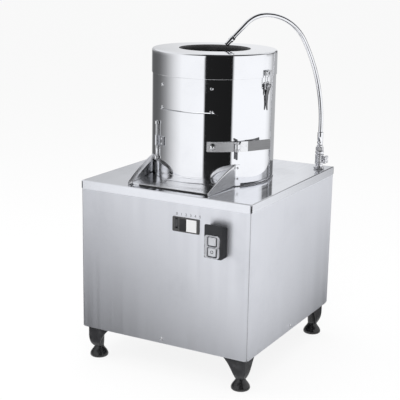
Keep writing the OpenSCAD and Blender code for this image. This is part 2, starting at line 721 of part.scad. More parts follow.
// a hook on the cap whose seat carries the bail's cross bar, open at the top
module clamp_hook() difference() {
    union() {
        translate([cap_r - clamp_r - 2, -base_w/2, -15]) cube([3.8, base_w, 15 - bail_d/2 - seat]);
        translate([cap_r - clamp_r, -9, -bail_d/2 - seat - 3]) cube([8.7, 18, 3]);
        translate([cap_r - clamp_r + 6.9, -9, -bail_d/2 - seat - 3]) cube([1.8, 18, 5]);
        for (s = [-1, 1]) translate([cap_r - clamp_r + 1.8, s*8, -10]) rotate([0, 90, 0]) dome_head(5, 1.8);
    }
    translate([-clamp_r, 0, -60]) cylinder(r = cap_r + skin, h = 120, $fn = fn_drum);
}

module clamp_hooks() color("gainsboro") for (a = [0, 180])
    polar(clamp_angle + a, clamp_r, hook_z) clamp_hook();

module clamp_lever(a) color("gray") polar(clamp_angle + a, clamp_r, clamp_top) difference() {
    union() {
        translate([0, -lever_w/2, 0]) rotate([-90, 0, 0]) cylinder(r = 4, h = lever_w, $fn = 48);
        translate([bail_pin[0], -lever_w/2, bail_pin[1]]) rotate([-90, 0, 0])
            cylinder(r = 2.6, h = lever_w, $fn = 48);
        translate([-1.6, -lever_w/2, bail_pin[1]]) cube([3.6, lever_w, -bail_pin[1]]);
        rotate([0, 90, 0]) translate([0, 0, -0.4]) linear_extrude(2) lever_outline();
    }
    translate([0, -lever_w, 0]) rotate([-90, 0, 0]) cylinder(r = 2 + fit, h = 2*lever_w, $fn = 32);
    translate([bail_pin[0], -lever_w, bail_pin[1]]) rotate([-90, 0, 0])
        cylinder(r = bail_d/2 + fit, h = 2*lever_w, $fn = 32);
}

// seen from outside: straight at the pivot, swelling, then narrow at the finger's end
module lever_outline() {
    polygon([[0, -lever_w/2], [0, lever_w/2], [22, lever_w/2 + 1.5], [lever_l - 10, 3.6],
        [lever_l - 3.5, 3.5],
        [lever_l - 3.5, -3.5], [lever_l - 10, -3.6], [22, -lever_w/2 - 1.5]]);
    translate([lever_l - 3.5, 0]) circle(r = 3.5, $fn = 32);
}

module clamp_bail(a) color("gainsboro") polar(clamp_angle + a, clamp_r, clamp_top) {
    rise = hook_rise - bail_pin[1];
    translate([bail_pin[0], 0, bail_pin[1]]) {
        for (s = [-1, 1]) {
            translate([0, s*bail_half, 0]) cylinder(r = bail_d/2, h = rise, $fn = 32);
            translate([0, s*bail_half, 0]) sphere(r = bail_d/2, $fn = 32);
            translate([0, s*bail_half, rise]) sphere(r = bail_d/2, $fn = 32);
            translate([0, s > 0 ? 2 : -bail_half, 0]) rotate([-90, 0, 0])
                cylinder(r = bail_d/2, h = bail_half - 2, $fn = 32);
        }
        translate([0, -bail_half, rise]) rotate([-90, 0, 0])
            cylinder(r = bail_d/2, h = 2*bail_half, $fn = 32);
    }
}

// ---- peeling disc and its shaft ----

module abrasive_disc() color("dimgray") at_drum(plate_top) difference() {
    intersection() {
        union() {
            cylinder(r = disc_r, h = disc_t, $fn = fn_drum);
            wave_r = 32;
            for (i = [0:disc_waves - 1]) rotate([0, 0, i*360/disc_waves + 20])
                translate([0, 0, disc_t + wave_h - wave_r]) rotate([0, 90, 0])
                    cylinder(r = wave_r, h = 2*disc_r, $fn = 96);
        }
        cylinder(r = disc_r, h = disc_t + wave_h + 5, $fn = fn_drum);
    }
    translate([0, 0, -1]) cylinder(r = shaft_r, h = disc_t + wave_h + 10);
    translate([0, 0, disc_t]) cylinder(r = nut_r + 1, h = wave_h + 10);
}

nut_r = 24;
hub_low = basin_z + 20;

module disc_carrier() color("silver") at_drum() {
    difference() {
        union() {
            translate([0, 0, plate_top - plate_t]) cylinder(r = basin_r - 2, h = plate_t, $fn = fn_drum);
            translate([0, 0, hub_low]) cylinder(r = shaft_r + 20, h = plate_top - plate_t - hub_low);
        }
        translate([0, 0, hub_low - 1]) cylinder(r = shaft_r + 16, h = plate_top - plate_t - hub_low - 7);
        translate([0, 0, hub_low]) cylinder(r = shaft_r, h = 100);
    }
    for (i = [0:3]) rotate([0, 0, i*90 + 45]) translate([shaft_r + 18, -2, plate_top - plate_t - 8])
        cube([basin_r - shaft_r - 24, 4, 8.5]);
}

module disc_cap_nut() color("white") at_drum(disc_top) {
    intersection() {
        cylinder(r = nut_r, h = 16);
        translate([0, 0, -18]) sphere(r = 34, $fn = 96);
    }
}

module main_shaft() color("silver") at_drum() difference() {
    translate([0, 0, pulley_z - 6]) cylinder(r = shaft_r, h = disc_top - pulley_z + 6);
    translate([shaft_r - 3, -2.5, pulley_z - 7]) cube([6, 5, 8]);
}

module bearing_housing() color("gray") at_drum() difference() {
    union() {
        translate([0, 0, basin_z - 60]) cylinder(r = housing_r, h = 60);
        translate([0, 0, basin_z - flange_t]) cylinder(r = bearing_rail_y + 16, h = flange_t, $fn = 96);
        translate([0, 0, basin_z - 1]) cylinder(r = shaft_r + 11, h = 20);
    }
    translate([0, 0, basin_z - 61]) cylinder(r = bearing_d/2 - 3, h = 62);
    for (z = [-56, -12 - bearing_w/2])
        translate([0, 0, basin_z + z]) cylinder(r = bearing_d/2, h = bearing_w);
    translate([0, 0, basin_z - 5]) cylinder(r = shaft_r + 1, h = 30);
    translate([0, 0, basin_z + 9]) cylinder(r = shaft_r + 7, h = 20);
}

module bearings() color("lightsteelblue") at_drum() for (z = [-56, -12 - bearing_w/2])
    translate([0, 0, basin_z + z]) difference() {
        cylinder(r = bearing_d/2, h = bearing_w);
        translate([0, 0, -1]) cylinder(r = shaft_r + fit, h = bearing_w + 2);
        for (y = [-1, bearing_w - 1]) translate([0, 0, y]) difference() {
            cylinder(r = bearing_d/2 - 4, h = 2);
            translate([0, 0, -1]) cylinder(r = shaft_r + 4, h = 4);
        }
    }

module shaft_seal() color([0.1, 0.1, 0.1]) at_drum(basin_z + 9) tube(shaft_r + 7, shaft_r + fit, 8);

// a V-belt pulley, its underside at the origin
module pulley(r, bore, hub_r) difference() {
    union() {
        rotate_extrude($fn = 128) polygon([[bore, 0], [r, 0], [r, pulley_w/2 - 8],
            [r - groove_h, pulley_w/2 - 5],
            [r - groove_h, pulley_w/2 + 5], [r, pulley_w/2 + 8], [r, pulley_w], [bore, pulley_w]]);
        difference() {
            translate([0, 0, pulley_w]) cylinder(r = hub_r, h = 8);
            translate([0, 0, pulley_w - 1]) cylinder(r = bore, h = 12);
        }
    }
}

module large_pulley() color("gray") at_drum(pulley_z) difference() {
    pulley(big_pulley_d/2, shaft_r, 24);
    for (i = [0:4]) rotate([0, 0, i*72]) translate([(big_pulley_d/2 - groove_h + 24)/2, 0, -1])
        cylinder(r = 16, h = pulley_w + 2);
}

module motor_pulley() color("gray") translate([drum_x, motor_y, pulley_z]) {
    pulley(small_pulley_d/2, motor_shaft_d/2, 14);
    translate([0, 0, motor_top - 18 - pulley_z])
        cylinder(r = motor_shaft_d/2, h = pulley_z - motor_top + 18 + pulley_w + 11);
}

belt_gap = 0.6;
belt_r1 = big_pulley_d/2 - groove_h + belt_gap;       // inner radii of the belt on its two pulleys
belt_r2 = small_pulley_d/2 - groove_h + belt_gap;
belt_lean = asin((belt_r1 - belt_r2)/belt_centres);

module belt_section(r, less = 0) translate([r, 0])
    polygon([[less, less - belt_thin/2], [belt_h - less, less - belt_wide/2],
        [belt_h - less, belt_wide/2 - less],
        [less, belt_thin/2 - less]]);

module drive_belt() color([0.12, 0.12, 0.12]) at_drum(belt_z) {
    span = belt_centres*cos(belt_lean);
    rotate([0, 0, 180 - belt_lean]) rotate_extrude(angle = 180 + 2*belt_lean, $fn = 128)
        belt_section(belt_r1);
    translate([0, belt_centres, 0]) rotate([0, 0, belt_lean])
        rotate_extrude(angle = 180 - 2*belt_lean, $fn = 96) belt_section(belt_r2);
    rotate([0, 0, belt_lean]) rotate([-90, 0, 0]) translate([0, 0, -1])
        linear_extrude(span + 2) belt_section(belt_r1, 0.15);
    rotate([0, 0, 180 - belt_lean]) rotate([90, 0, 0]) translate([0, 0, -1])
        linear_extrude(span + 2) belt_section(belt_r1, 0.15);
}

fan_h = 38;
motor_plate = 150;            // width of the motor's square face
motor_box = [46, 76, 70];     // its terminal box, outwards, across and down

module motor() color("steelblue") translate([drum_x, motor_y, 0]) difference() {
    union() {
        translate([0, 0, motor_top - 10]) linear_extrude(10) round_rect(motor_plate, motor_plate, 12);
        translate([0, 0, motor_top - motor_l]) cylinder(r = motor_d/2 - 8, h = motor_l, $fn = 96);
        for (i = [0:23]) rotate([0, 0, i*15])
            translate([motor_d/2 - 10, -1.2, motor_top - motor_l + fan_h + 4])
            cube([10, 2.4, motor_l - fan_h - 24]);
        translate([0, 0, motor_top - 22]) cylinder(r = motor_d/2, h = 14, $fn = 96);
        translate([motor_d/2 - 14, -motor_box[1]/2, motor_top - motor_box[2] - 50]) cube(motor_box);
        translate([0, 0, motor_top - 1]) cylinder(r = 40, h = 5);
    }
    translate([0, 0, motor_top - 20]) cylinder(r = motor_shaft_d/2 + fit, h = 40, $fn = 48);
    for (x = [-1, 1], y = [-1, 1]) translate([x, y, 0]*(motor_plate/2 - 13) + [0, 0, motor_top - 11])
        cylinder(r = 4.5, h = 12, $fn = 32);
}

module motor_fan_cover() color([0.2, 0.2, 0.22]) translate([drum_x, motor_y, motor_top - motor_l - 6])
    difference() {
    cylinder(r = motor_d/2 - 1, h = fan_h + 6, $fn = 96);
    translate([0, 0, 2]) cylinder(r = motor_d/2 - 3, h = fan_h, $fn = 96);
    translate([0, 0, fan_h]) cylinder(r = motor_d/2 - 8 + skin, h = 10, $fn = 96);
    for (i = [0:7]) rotate([0, 0, i*45]) translate([14, -3, -1]) cube([motor_d/2 - 26, 6, 4]);
}

// ---- drain ----

module drain_basin() color("silver") at_drum() difference() {
    union() {
        rotate_extrude($fn = fn_drum) {
            translate([shaft_r + 11.3, basin_z]) square([basin_r - shaft_r - 11.3, sheet]);
            translate([shaft_r + 11.3, basin_z]) square([sheet, 15]);
            translate([basin_r - sheet, basin_z]) square([sheet, deck_under - basin_z]);
            translate([basin_r - sheet, deck_under - sheet]) square([14, sheet]);
        }
        translate([-drain_off, 0, drain_z + drain_turn])
            cylinder(r = drain_d/2, h = basin_z - drain_z - drain_turn + 1);
        translate([-drain_off, 0, drain_z]) rear_elbow(drain_turn, drain_d/2);
        translate([-drain_off, drain_turn, drain_z]) rotate([-90, 0, 0])
            cylinder(r = drain_d/2, h = reach_y - drum_y - drain_turn);
        translate([-drain_off, rear_y + seat - drum_y, drain_z]) rotate([-90, 0, 0])
            cylinder(r = drain_d/2 + 4, h = 4);
    }
    translate([-drain_off, 0, drain_z + drain_turn]) cylinder(r = drain_d/2 - sheet, h = basin_z - drain_z);
    translate([-drain_off, 0, drain_z]) rear_elbow(drain_turn, drain_d/2 - sheet);
    translate([-drain_off, drain_turn, drain_z]) rotate([-90, 0, 0])
        cylinder(r = drain_d/2 - sheet, h = reach_y - drum_y - drain_turn + 1);
}

// a pipe's quarter bend from straight down to straight back, its outlet at height zero
module rear_elbow(turn, r) translate([0, turn, turn]) rotate([0, 90, 0]) rotate([0, 0, 270])
    rotate_extrude(angle = 90, $fn = 96) translate([turn, 0]) circle(r = r, $fn = 48);

// ---- cable entry ----

gland_x = 150;
gland_r = 10;

module cable_gland() color([0.12, 0.12, 0.13]) translate([gland_x, 0, drain_z]) difference() {
    union() {
        translate([0, rear_y - 14, 0]) rotate([-90, 0, 0]) cylinder(r = gland_r, h = 26);
        translate([0, rear_y, 0]) rotate([-90, 0, 0]) cylinder(r = 14, h = 8, $fn = 6);
        translate([0, rear_y + 8, 0]) rotate([-90, 0, 0]) cylinder(r = 12, h = 14);
        translate([0, rear_y - sheet - 6, 0]) rotate([-90, 0, 0]) cylinder(r = 14, h = 6, $fn = 6);
    }
    translate([0, rear_y - 20, 0]) rotate([-90, 0, 0]) cylinder(r = 5, h = 50, $fn = 48);
}

// ---- timer ----

slot_w = 7;
slot_l = 29;
slot_x = timer_x - timer_w/2 + 13.5;
plate_w = 31;
plate_h = timer_h - 7;
plate_x = timer_x + timer_w/2 - 8 - plate_w/2;

module timer_bezel() color([0.16, 0.16, 0.17]) difference() {
    union() {
        translate([timer_mid[0], front_y, timer_mid[1]]) rotate([90, 0, 0])
            linear_extrude(timer_out) round_rect(timer_w, timer_h, 3);
        translate([timer_mid[0] - timer_w/2 + 4.5, front_y - 0.5, timer_mid[1] - timer_h/2 + 3.5])
            cube([timer_w - 9, 38, timer_h - 7]);
    }
    translate([slot_x - slot_w/2, front_y - timer_out - 1, timer_mid[1] - slot_l/2 + 3])
        cube([slot_w, 22, slot_l]);
    translate([plate_x - plate_w/2, front_y - timer_out - 1, timer_mid[1] - plate_h/2])
        cube([plate_w, 2.2, plate_h]);
    translate([timer_mid[0] - 19, front_y - timer_out - 1, timer_mid[1] - plate_h/2])
        cube([21, 1.8, plate_h]);
}

rocker_y = front_y + 6;

// a narrow rocker that tilts about a pin across its slot
module timer_rocker() color([0.5, 0.5, 0.52]) intersection() {
    translate([slot_x - slot_w/2 + seat, 0, timer_mid[1] + 3]) rotate([90, 0, 90])
        linear_extrude(slot_w - 2*seat)
        polygon([[rocker_y + 4, -5], [rocker_y + 4, 5], [front_y - timer_out + 1.4, slot_l/2 - 1.4],
            [front_y - timer_out - 1.2, slot_l/2 - 1.8], [front_y - timer_out, 0],
            [front_y - timer_out - 1.2, -slot_l/2 + 1.8], [front_y - timer_out + 1.4, -slot_l/2 + 1.4]]);
    translate([slot_x, rocker_y, timer_mid[1] + 3]) rotate([0, 90, 0])
        cylinder(r = slot_l/2 - 0.6, h = slot_w, center = true);
}

module timer_scale() color("white")
    translate([plate_x - plate_w/2, front_y - timer_out + 0.2, timer_mid[1] - plate_h/2])
        cube([plate_w, 1, plate_h]);

// ---- switch ----

cover_w = 44;

module switch_housing() color([0.15, 0.15, 0.16]) difference() {
    union() {
        translate([switch_mid[0], front_y, switch_mid[1]]) rotate([90, 0, 0])
            linear_extrude(switch_out - 4) round_rect(switch_w, switch_h, 5);
        translate([switch_mid[0], switch_face + 4, switch_mid[1]]) rotate([90, 0, 0])
            linear_extrude(2) round_rect(switch_w - 2, switch_h - 2, 4.5);
        translate([switch_mid[0], switch_face + 2, switch_mid[1]]) rotate([90, 0, 0])
            linear_extrude(2) round_rect(switch_w - 5, switch_h - 5, 4);
        translate([switch_mid[0] - switch_w/2 + 8, front_y - 1, switch_mid[1] - switch_h/2 + 11])
            cube([switch_w - 16, 24, switch_h - 22]);
    }
    for (z = [start_z, stop_z]) {
        translate([button_x, switch_face + button_depth + press_l + 1, z]) rotate([90, 0, 0])
            linear_extrude(button_depth + press_l + 2) square(button_w + 2*seat, center = true);
        translate([button_x, pocket_y - 2, z]) rotate([-90, 0, 0]) cylinder(r = 3 + fit, h = 14, $fn = 32);
    }
}

// a push button with a guide pin behind it
module button(z) {
    translate([button_x, switch_face + button_depth, z]) rotate([90, 0, 0])
        linear_extrude(button_depth + 1) round_rect(button_w, button_w, 3);
    translate([button_x, switch_face + button_depth - 1, z]) rotate([-90, 0, 0])
        cylinder(r = 3, h = 10, $fn = 32);
}

module start_button() color([0.72, 0.74, 0.76]) button(start_z);
module stop_button() color([0.72, 0.72, 0.74]) difference() {
    button(stop_z);
    translate([button_x, switch_face, stop_z]) rotate([90, 0, 0]) linear_extrude(3) ring_2d(4.5, 1.4);
}

// the cover's outline: two round squares that meet in a waist
module cover_outline(r, grow) for (z = [start_z, stop_z])
    translate([button_x, z]) round_rect(cover_w - 10 + grow, 33 + grow, r);

module switch_cover() color([0.8, 0.82, 0.84, 0.5]) translate([0, switch_face, 0]) rotate([90, 0, 0])
    difference() {
    linear_extrude(cover_out) cover_outline(7, 0);
    translate([0, 0, -1]) linear_extrude(cover_out) cover_outline(5, -5);
}

// ---- water valve and spout ----

module water_valve() color("gainsboro") translate([valve_x, valve_y, 0]) difference() {
    union() {
        translate([0, 0, z_deck]) cylinder(r = 16, h = 7, $fn = 6);
        translate([0, 0, z_deck + 6]) cylinder(r = 10.5, h = valve_top - z_deck - 6);
        translate([0, 0, z_deck + 16]) cylinder(r = 13, h = 28);
        translate([0, 0, valve_top - 9]) cylinder(r = 12.5, h = 7);
        translate([0, 0, stem_z]) rotate([0, 90, 0]) cylinder(r = 8, h = 15);
        translate([0, 0, tail_z + tail_turn]) cylinder(r = tail_r, h = z_deck + 2 - tail_z - tail_turn);
        translate([0, 0, tail_z]) {
            rear_elbow(tail_turn, tail_r);
            translate([0, tail_turn, 0]) rotate([-90, 0, 0])
                cylinder(r = tail_r, h = reach_y - valve_y - tail_turn);
            translate([0, rear_y + seat - valve_y, 0]) rotate([-90, 0, 0]) cylinder(r = tail_r + 4, h = 4);
        }
        translate([0, 0, deck_under - angle_t - 7]) cylinder(r = 14, h = 7 - seat/2, $fn = 6);
    }
    translate([0, 0, spout_base - 5]) cylinder(r = spout_r + fit, h = 20, $fn = 48);
    translate([0, 0, tail_z + tail_turn])
        cylinder(r = 5, h = spout_base - 1 - tail_z - tail_turn, $fn = 48);
    translate([0, 0, tail_z]) {
        rear_elbow(tail_turn, 5);
        translate([0, tail_turn, 0]) rotate([-90, 0, 0])
            cylinder(r = 5, h = reach_y - valve_y - tail_turn + 1, $fn = 48);
    }
    translate([7, 0, stem_z]) rotate([0, 90, 0]) cylinder(r = 3 + fit, h = 20, $fn = 32);
}

module valve_knob() color("gainsboro") translate([valve_x + 15 + seat, valve_y, stem_z]) rotate([0, 90, 0]) {
    translate([0, 0, -8]) cylinder(r = 3, h = 10, $fn = 32);
    difference() {
        union() {
            cylinder(r = knob_d/2 - 4, h = 9);
            for (i = [0:3]) rotate([0, 0, i*90 + 45]) translate([knob_d/2 - 4, 0, 0.6])
                cylinder(r = 4, h = 7.8, $fn = 32);
        }
        translate([0, 0, 7.4]) cylinder(r = 4, h = 3, $fn = 32);
    }
}

// the spout's plane: x runs from the valve to the mouth, y is up
bend_1_mid = [bend_1, z_deck + spout_rise];
top_1 = bend_1_mid + bend_1*[-sin(turn_1), cos(turn_1)];
bend_2_mid = top_1 + bend_2*[sin(turn_1), -cos(turn_1)];
top_2 = bend_2_mid + bend_2*[-sin(turn_2), cos(turn_2)];
bend_3_mid = top_2 + bend_3*[sin(turn_2), -cos(turn_2)];
top_3 = bend_3_mid + bend_3*[-sin(turn_3), cos(turn_3)];

module spout_plane() translate([valve_x, valve_y, 0]) rotate([0, 0, spout_dir]) rotate([90, 0, 0]) children();

// one bend in the spout's plane, between two slopes
module spout_bend(mid, radius, slope_0, slope_1) translate([mid[0], mid[1], 0])
    rotate([0, 0, slope_1 + 90.02])
    rotate_extrude(angle = slope_0 - slope_1 - 0.04, $fn = 240) translate([radius, 0])
        circle(r = spout_r, $fn = 32);

// a thin ferrule where two stretches of the spout are joined, square to a slope in the spout's plane
module ferrule(at, slope) translate([at[0], at[1], 0]) rotate([0, 90, 0]) rotate([-slope, 0, 0])
    cylinder(r = spout_r + 0.4, h = 3, center = true);

module spout_pipe() color("gainsboro") difference() {
    union() {
        translate([valve_x, valve_y, spout_base])
            cylinder(r = spout_r, h = spout_rise - spout_base + z_deck - 0.2, $fn = 64);
        translate([valve_x, valve_y, z_deck + 74]) cylinder(r = spout_r + 2, h = 38);
        spout_plane() {
            ferrule([0, z_deck + spout_rise], 90);
            spout_bend(bend_1_mid, bend_1, 90, turn_1);
            ferrule(top_1, turn_1);
            spout_bend(bend_2_mid, bend_2, turn_1, turn_2);
            ferrule(top_2, turn_2);
            spout_bend(bend_3_mid, bend_3, turn_2, turn_3);
            ferrule(top_3, turn_3);
            nozzle() {
                translate([0, 0, 0.2]) cylinder(r = spout_r, h = spout_end - 0.2, $fn = 64);
                translate([0, 0, spout_end - 30]) cylinder(r = spout_r + 1.5, h = 14);
            }
        }
    }
    translate([valve_x, valve_y, spout_base - 1]) cylinder(r = spout_bore/2, h = spout_rise - 10, $fn = 48);
    spout_plane() nozzle() translate([0, 0, 5]) cylinder(r = spout_bore/2, h = spout_end, $fn = 48);
}

// the spout's straight end, its length along +Z
module nozzle() translate([top_3[0], top_3[1], 0]) rotate([0, 90, 0]) rotate([-turn_3, 0, 0]) children();

module spout_nut() color("gainsboro") translate([valve_x, valve_y, valve_top]) difference() {
    union() {
        cylinder(r = 12, h = 11, $fn = 6);
        translate([0, 0, 10]) cylinder(r = 9, h = 6);
    }
    translate([0, 0, -1]) cylinder(r = spout_r + fit, h = 20, $fn = 48);
}

deck_panel();
front_panel();
rear_panel();
side_panel(-1);  // side_panel_left
side_panel(1);  // side_panel_right
cabinet_frame();
leg(post[0]);  // leg_front_left
leg(post[1]);  // leg_rear_left
leg(post[2]);  // leg_front_right
leg(post[3]);  // leg_rear_right
foot(post[0]);  // foot_front_left
foot(post[1]);  // foot_rear_left
foot(post[2]);  // foot_front_right
foot(post[3]);  // foot_rear_right
panel_screws();
drum_shell();
drum_liner();
top_cap();
drum_screws();
discharge_chute();
door_panel();
door_liner();
door_hinge_leaf();
hinge_rod();
door_strap();
door_nuts();
latch_pin();
latch_handle();
latch_rest();
clamp_bases();
clamp_hooks();
clamp_lever(0);  // clamp_lever_right
clamp_lever(180);  // clamp_lever_left
clamp_bail(0);  // clamp_bail_right
clamp_bail(180);  // clamp_bail_left
abrasive_disc();
disc_carrier();
disc_cap_nut();
main_shaft();
bearing_housing();
bearings();
shaft_seal();
large_pulley();
drive_belt();
motor_pulley();
motor();
motor_fan_cover();
drain_basin();
cable_gland();
timer_bezel();
timer_rocker();
timer_scale();
switch_housing();
start_button();
stop_button();
switch_cover();
water_valve();
valve_knob();
spout_pipe();
spout_nut();
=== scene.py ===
"""Electric potato peeler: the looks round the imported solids.

Shapes are worked out in millimetres in the frame of the part and put into meshes in metres.
"""

import json
import math

import bmesh
import bpy
import numpy as np
from mathutils import Matrix, Vector


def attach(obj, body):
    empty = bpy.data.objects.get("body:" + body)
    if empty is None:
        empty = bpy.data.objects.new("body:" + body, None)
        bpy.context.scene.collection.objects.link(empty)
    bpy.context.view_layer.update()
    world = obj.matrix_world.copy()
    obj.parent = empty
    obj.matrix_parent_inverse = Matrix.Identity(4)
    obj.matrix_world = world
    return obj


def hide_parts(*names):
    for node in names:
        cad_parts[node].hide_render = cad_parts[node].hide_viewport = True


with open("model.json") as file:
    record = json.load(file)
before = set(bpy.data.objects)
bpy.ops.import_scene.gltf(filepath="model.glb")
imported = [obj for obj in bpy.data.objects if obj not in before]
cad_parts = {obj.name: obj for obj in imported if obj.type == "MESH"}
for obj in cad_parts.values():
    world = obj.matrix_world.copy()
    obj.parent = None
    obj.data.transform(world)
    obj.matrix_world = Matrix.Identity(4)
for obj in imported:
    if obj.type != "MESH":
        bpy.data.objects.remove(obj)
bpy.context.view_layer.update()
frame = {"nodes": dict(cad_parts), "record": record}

MM = 0.001
X, Y, UP = (1, 0, 0), (0, 1, 0), np.array([0.0, 0.0, 1.0])
AXIS = np.array([2.0, -6.0])      # the drum's axis on the deck
DRUM_R = 175.0
DECK = 528.0
CAP_LOW = 821.0
CAP_R = 176.9
MOUTH_R = 95.8      # the cap's filling mouth
OPENING = (-117.5, -61.5, 560.0, 722.0)      # the door's opening: two angles and two heights
DOOR = (-120.5, -58.5, 552.0, 730.0)
DOOR_R = 175.4
STRAP_Z = (626.5, 654.5)
STRAP_R, STRAP_T = 176.7, 2.5
ROD_ANGLE, ROD_R = -122.5, 181.0
PIN_ANGLE, PIN_R = -41.0, 182.0
CLAMP_ANGLE, CLAMP_R, CLAMP_TOP, HOOK_Z = -7.0, 182.0, 800.0, 842.0
FRONT, SIDE, REAR = -280.7, 263.2, 280.7
VALVE = (238.0, 228.0)
TAP_Z, INLET_Z = 558.0, 472.0
SPOUT_R = 6.5
SWITCH = (169, 421)      # x and z of each station on the front panel
BUTTONS = (("start", 1.5), ("stop", -27.5))
TIMER = (72, 446)
GLAND = (150, REAR, 155)
FOOT = (231.0, 248.5)
RING_R, RING_TOP = 1.75, 9.0      # the studio's ring of card, in metres


# ---- arrays ----

def unit(v):
    """Each vector divided by its own length."""
    v = np.asarray(v, float)
    return v/np.linalg.norm(v, axis=-1, keepdims=True)


def polar(angle, radius, z):
    """x = x0 + r cos a, y = y0 + r sin a, z, round the drum's axis, with the angle in degrees."""
    a = np.radians(angle)
    x, y, z = np.broadcast_arrays(AXIS[0] + radius*np.cos(a), AXIS[1] + radius*np.sin(a), z)
    return np.stack([x, y, z], axis=-1).astype(float)


def grid(points, wrap_u=False, wrap_v=False, ends=False):
    """Quads between neighbours of a grid.

    Either way may close on itself, and ends puts a flat face on both end rows.
    """
    n, m = points.shape[:2]
    i, j = np.meshgrid(np.arange(n if wrap_u else n - 1), np.arange(m if wrap_v else m - 1), indexing="ij")
    i2, j2 = (i + 1) % n, (j + 1) % m
    faces = np.stack([i*m + j, i2*m + j, i2*m + j2, i*m + j2], axis=-1).reshape(-1, 4).tolist()
    if ends:
        faces += [list(range(m)), list(range(n*m - 1, (n - 1)*m - 1, -1))]
    return points.reshape(-1, 3), faces


def join(*parts):
    """The points of all parts one after the other, with each part's faces counted on."""
    points, faces, start = [], [], 0
    for p, f in parts:
        points.append(p)
        faces += [[k + start for k in face] for face in f]
        start += len(p)
    return np.concatenate(points), faces


def place(part, origin, z=UP, x=None):
    """Turns a part so that its Z lies along z and its X near x, then moves its origin."""
    z = unit(z)
    x = np.asarray((1.0, 0, 0) if x is None else x, float)
    if abs(np.dot(z, unit(x))) > 0.99:
        x = np.array((0.0, 1.0, 0))
    x = unit(x - z*np.dot(x, z))
    return part[0] @ np.array([x, np.cross(z, x), z]) + np.asarray(origin, float), part[1]


def at_polar(part, angle, radius, z):
    """Places a part on the drum's side: X outwards, Y round the drum, Z up."""
    a = math.radians(angle)
    return place(part, polar(angle, radius, z), UP, (math.cos(a), math.sin(a), 0))


def facing_out(part, angle, radius, z, y=0):
    """Places a part on the drum's side with its own Z pointing outwards."""
    return at_polar(place(part, (0, y, 0), X), angle, radius, z)


def sideways(part, y, angle, radius, z):
    """Places a part on the drum's side with its own Z running round the drum and its X outwards."""
    return at_polar(place(part, (0, y, 0), Y, X), angle, radius, z)


def arc(cx, cy, r, a0, a1, n=9):
    """Points on a circle from one angle to another, in degrees."""
    a = np.radians(np.linspace(a0, a1, n))
    return np.stack([cx + r*np.cos(a), cy + r*np.sin(a)], axis=-1)


def fillet(points, radii, n=5, closed=True):
    """A polyline whose corners are arcs.

    Each arc touches both legs at r / tan(half the corner's angle) from the corner.
    """
    points = np.asarray(points, float)
    radii = np.broadcast_to(radii, len(points))
    out = []
    for k, p in enumerate(points):
        if radii[k] <= 0 or (not closed and k in (0, len(points) - 1)):
            out.append(p[None])
            continue
        a, b = unit(points[k - 1] - p), unit(points[(k + 1) % len(points)] - p)
        half = math.acos(np.clip(np.dot(a, b), -1, 1))/2
        mid = p + unit(a + b)*radii[k]/math.sin(half)
        foot_a, foot_b = p + a*radii[k]/math.tan(half), p + b*radii[k]/math.tan(half)
        t = np.linspace(0, 1, n)[:, None]
        turn = math.pi - 2*half
        u, v = unit(foot_a - mid), unit(foot_b - mid)
        out.append(mid + radii[k]*(np.sin((1 - t)*turn)*u + np.sin(t*turn)*v)/math.sin(turn))
    return np.concatenate(out)


def box_outline(w, h, r, n=5):
    """A rectangle round the origin with round corners."""
    return fillet([(w/2, h/2), (-w/2, h/2), (-w/2, -h/2), (w/2, -h/2)], r, n)


def prism(outline, low, high):
    """An outline of x and y carried straight from one height to another, closed by flat ends."""
    outline = np.asarray(outline, float)
    rows = [np.column_stack([outline, np.full(len(outline), z)]) for z in (low, high)]
    return grid(np.array(rows), wrap_v=True, ends=True)


def stack(outline_at, heights, insets):
    """Outlines of x and y at rising heights, each drawn in by its inset, closed at both ends."""
    outlines = [outline_at(i) for i in insets]
    rows = [np.column_stack([o, np.full(len(o), z)]) for z, o in zip(heights, outlines)]
    return grid(np.array(rows), wrap_v=True, ends=True)


def revolve(profile, sides=64, loop=False):
    """A profile of radius r and height z turned once round the Z axis: (r cos a, r sin a, z)."""
    profile = np.asarray(profile, float)
    a = np.linspace(0, 2*np.pi, sides, endpoint=False)
    r, z = profile[:, :1], profile[:, 1:]
    return grid(np.stack([r*np.cos(a), r*np.sin(a), z + 0*a], axis=-1), wrap_u=loop, wrap_v=True)


def sweep(path, section, normal, ends=True, loop=False):
    """A section carried along a path that lies near one plane.

    The section's x runs along the plane's normal, and its y along tangent x normal.
    """
    path = np.asarray(path, float)
    tangent = unit(np.roll(path, -1, 0) - np.roll(path, 1, 0) if loop else np.gradient(path, axis=0))
    n = unit(np.broadcast_to(normal, path.shape) - tangent*np.sum(tangent*normal, axis=-1, keepdims=True))
    side = np.cross(tangent, n)
    section = np.asarray(section, float)
    if section.ndim == 2:
        section = np.broadcast_to(section, (len(path),) + section.shape)
    points = path[:, None] + section[..., :1]*n[:, None] + section[..., 1:]*side[:, None]
    return grid(points, wrap_u=loop, wrap_v=True, ends=ends and not loop)


def round_section(r, sides=16):
    """Points of a circle, as a section for sweep."""
    return arc(0, 0, r, 0, 360*(1 - 1/sides), sides)


def curved_bar(a0, a1, r0, r1, z0, z1, edge=0.5, step=1.0):
    """A bar bent round the drum: a rectangle with round edges, carried through an angle."""
    edge = min(edge, (r1 - r0)/2.05)
    section = box_outline(r1 - r0, z1 - z0, edge, 4) + ((r0 + r1)/2, (z0 + z1)/2)
    a = np.linspace(a0, a1, max(2, int(abs(a1 - a0)/step) + 1))[:, None]
    return grid(polar(a, section[None, :, 0], section[None, :, 1]), wrap_v=True, ends=True)


def dense(points, gap=3.0):
    """Points at even spacing along a polyline."""
    points = np.asarray(points, float)
    s = np.concatenate([[0], np.cumsum(np.linalg.norm(np.diff(points, axis=0), axis=1))])
    t = np.linspace(0, s[-1], max(3, int(s[-1]/gap) + 1))
    return np.stack([np.interp(t, s, points[:, k]) for k in range(points.shape[1])], axis=-1)


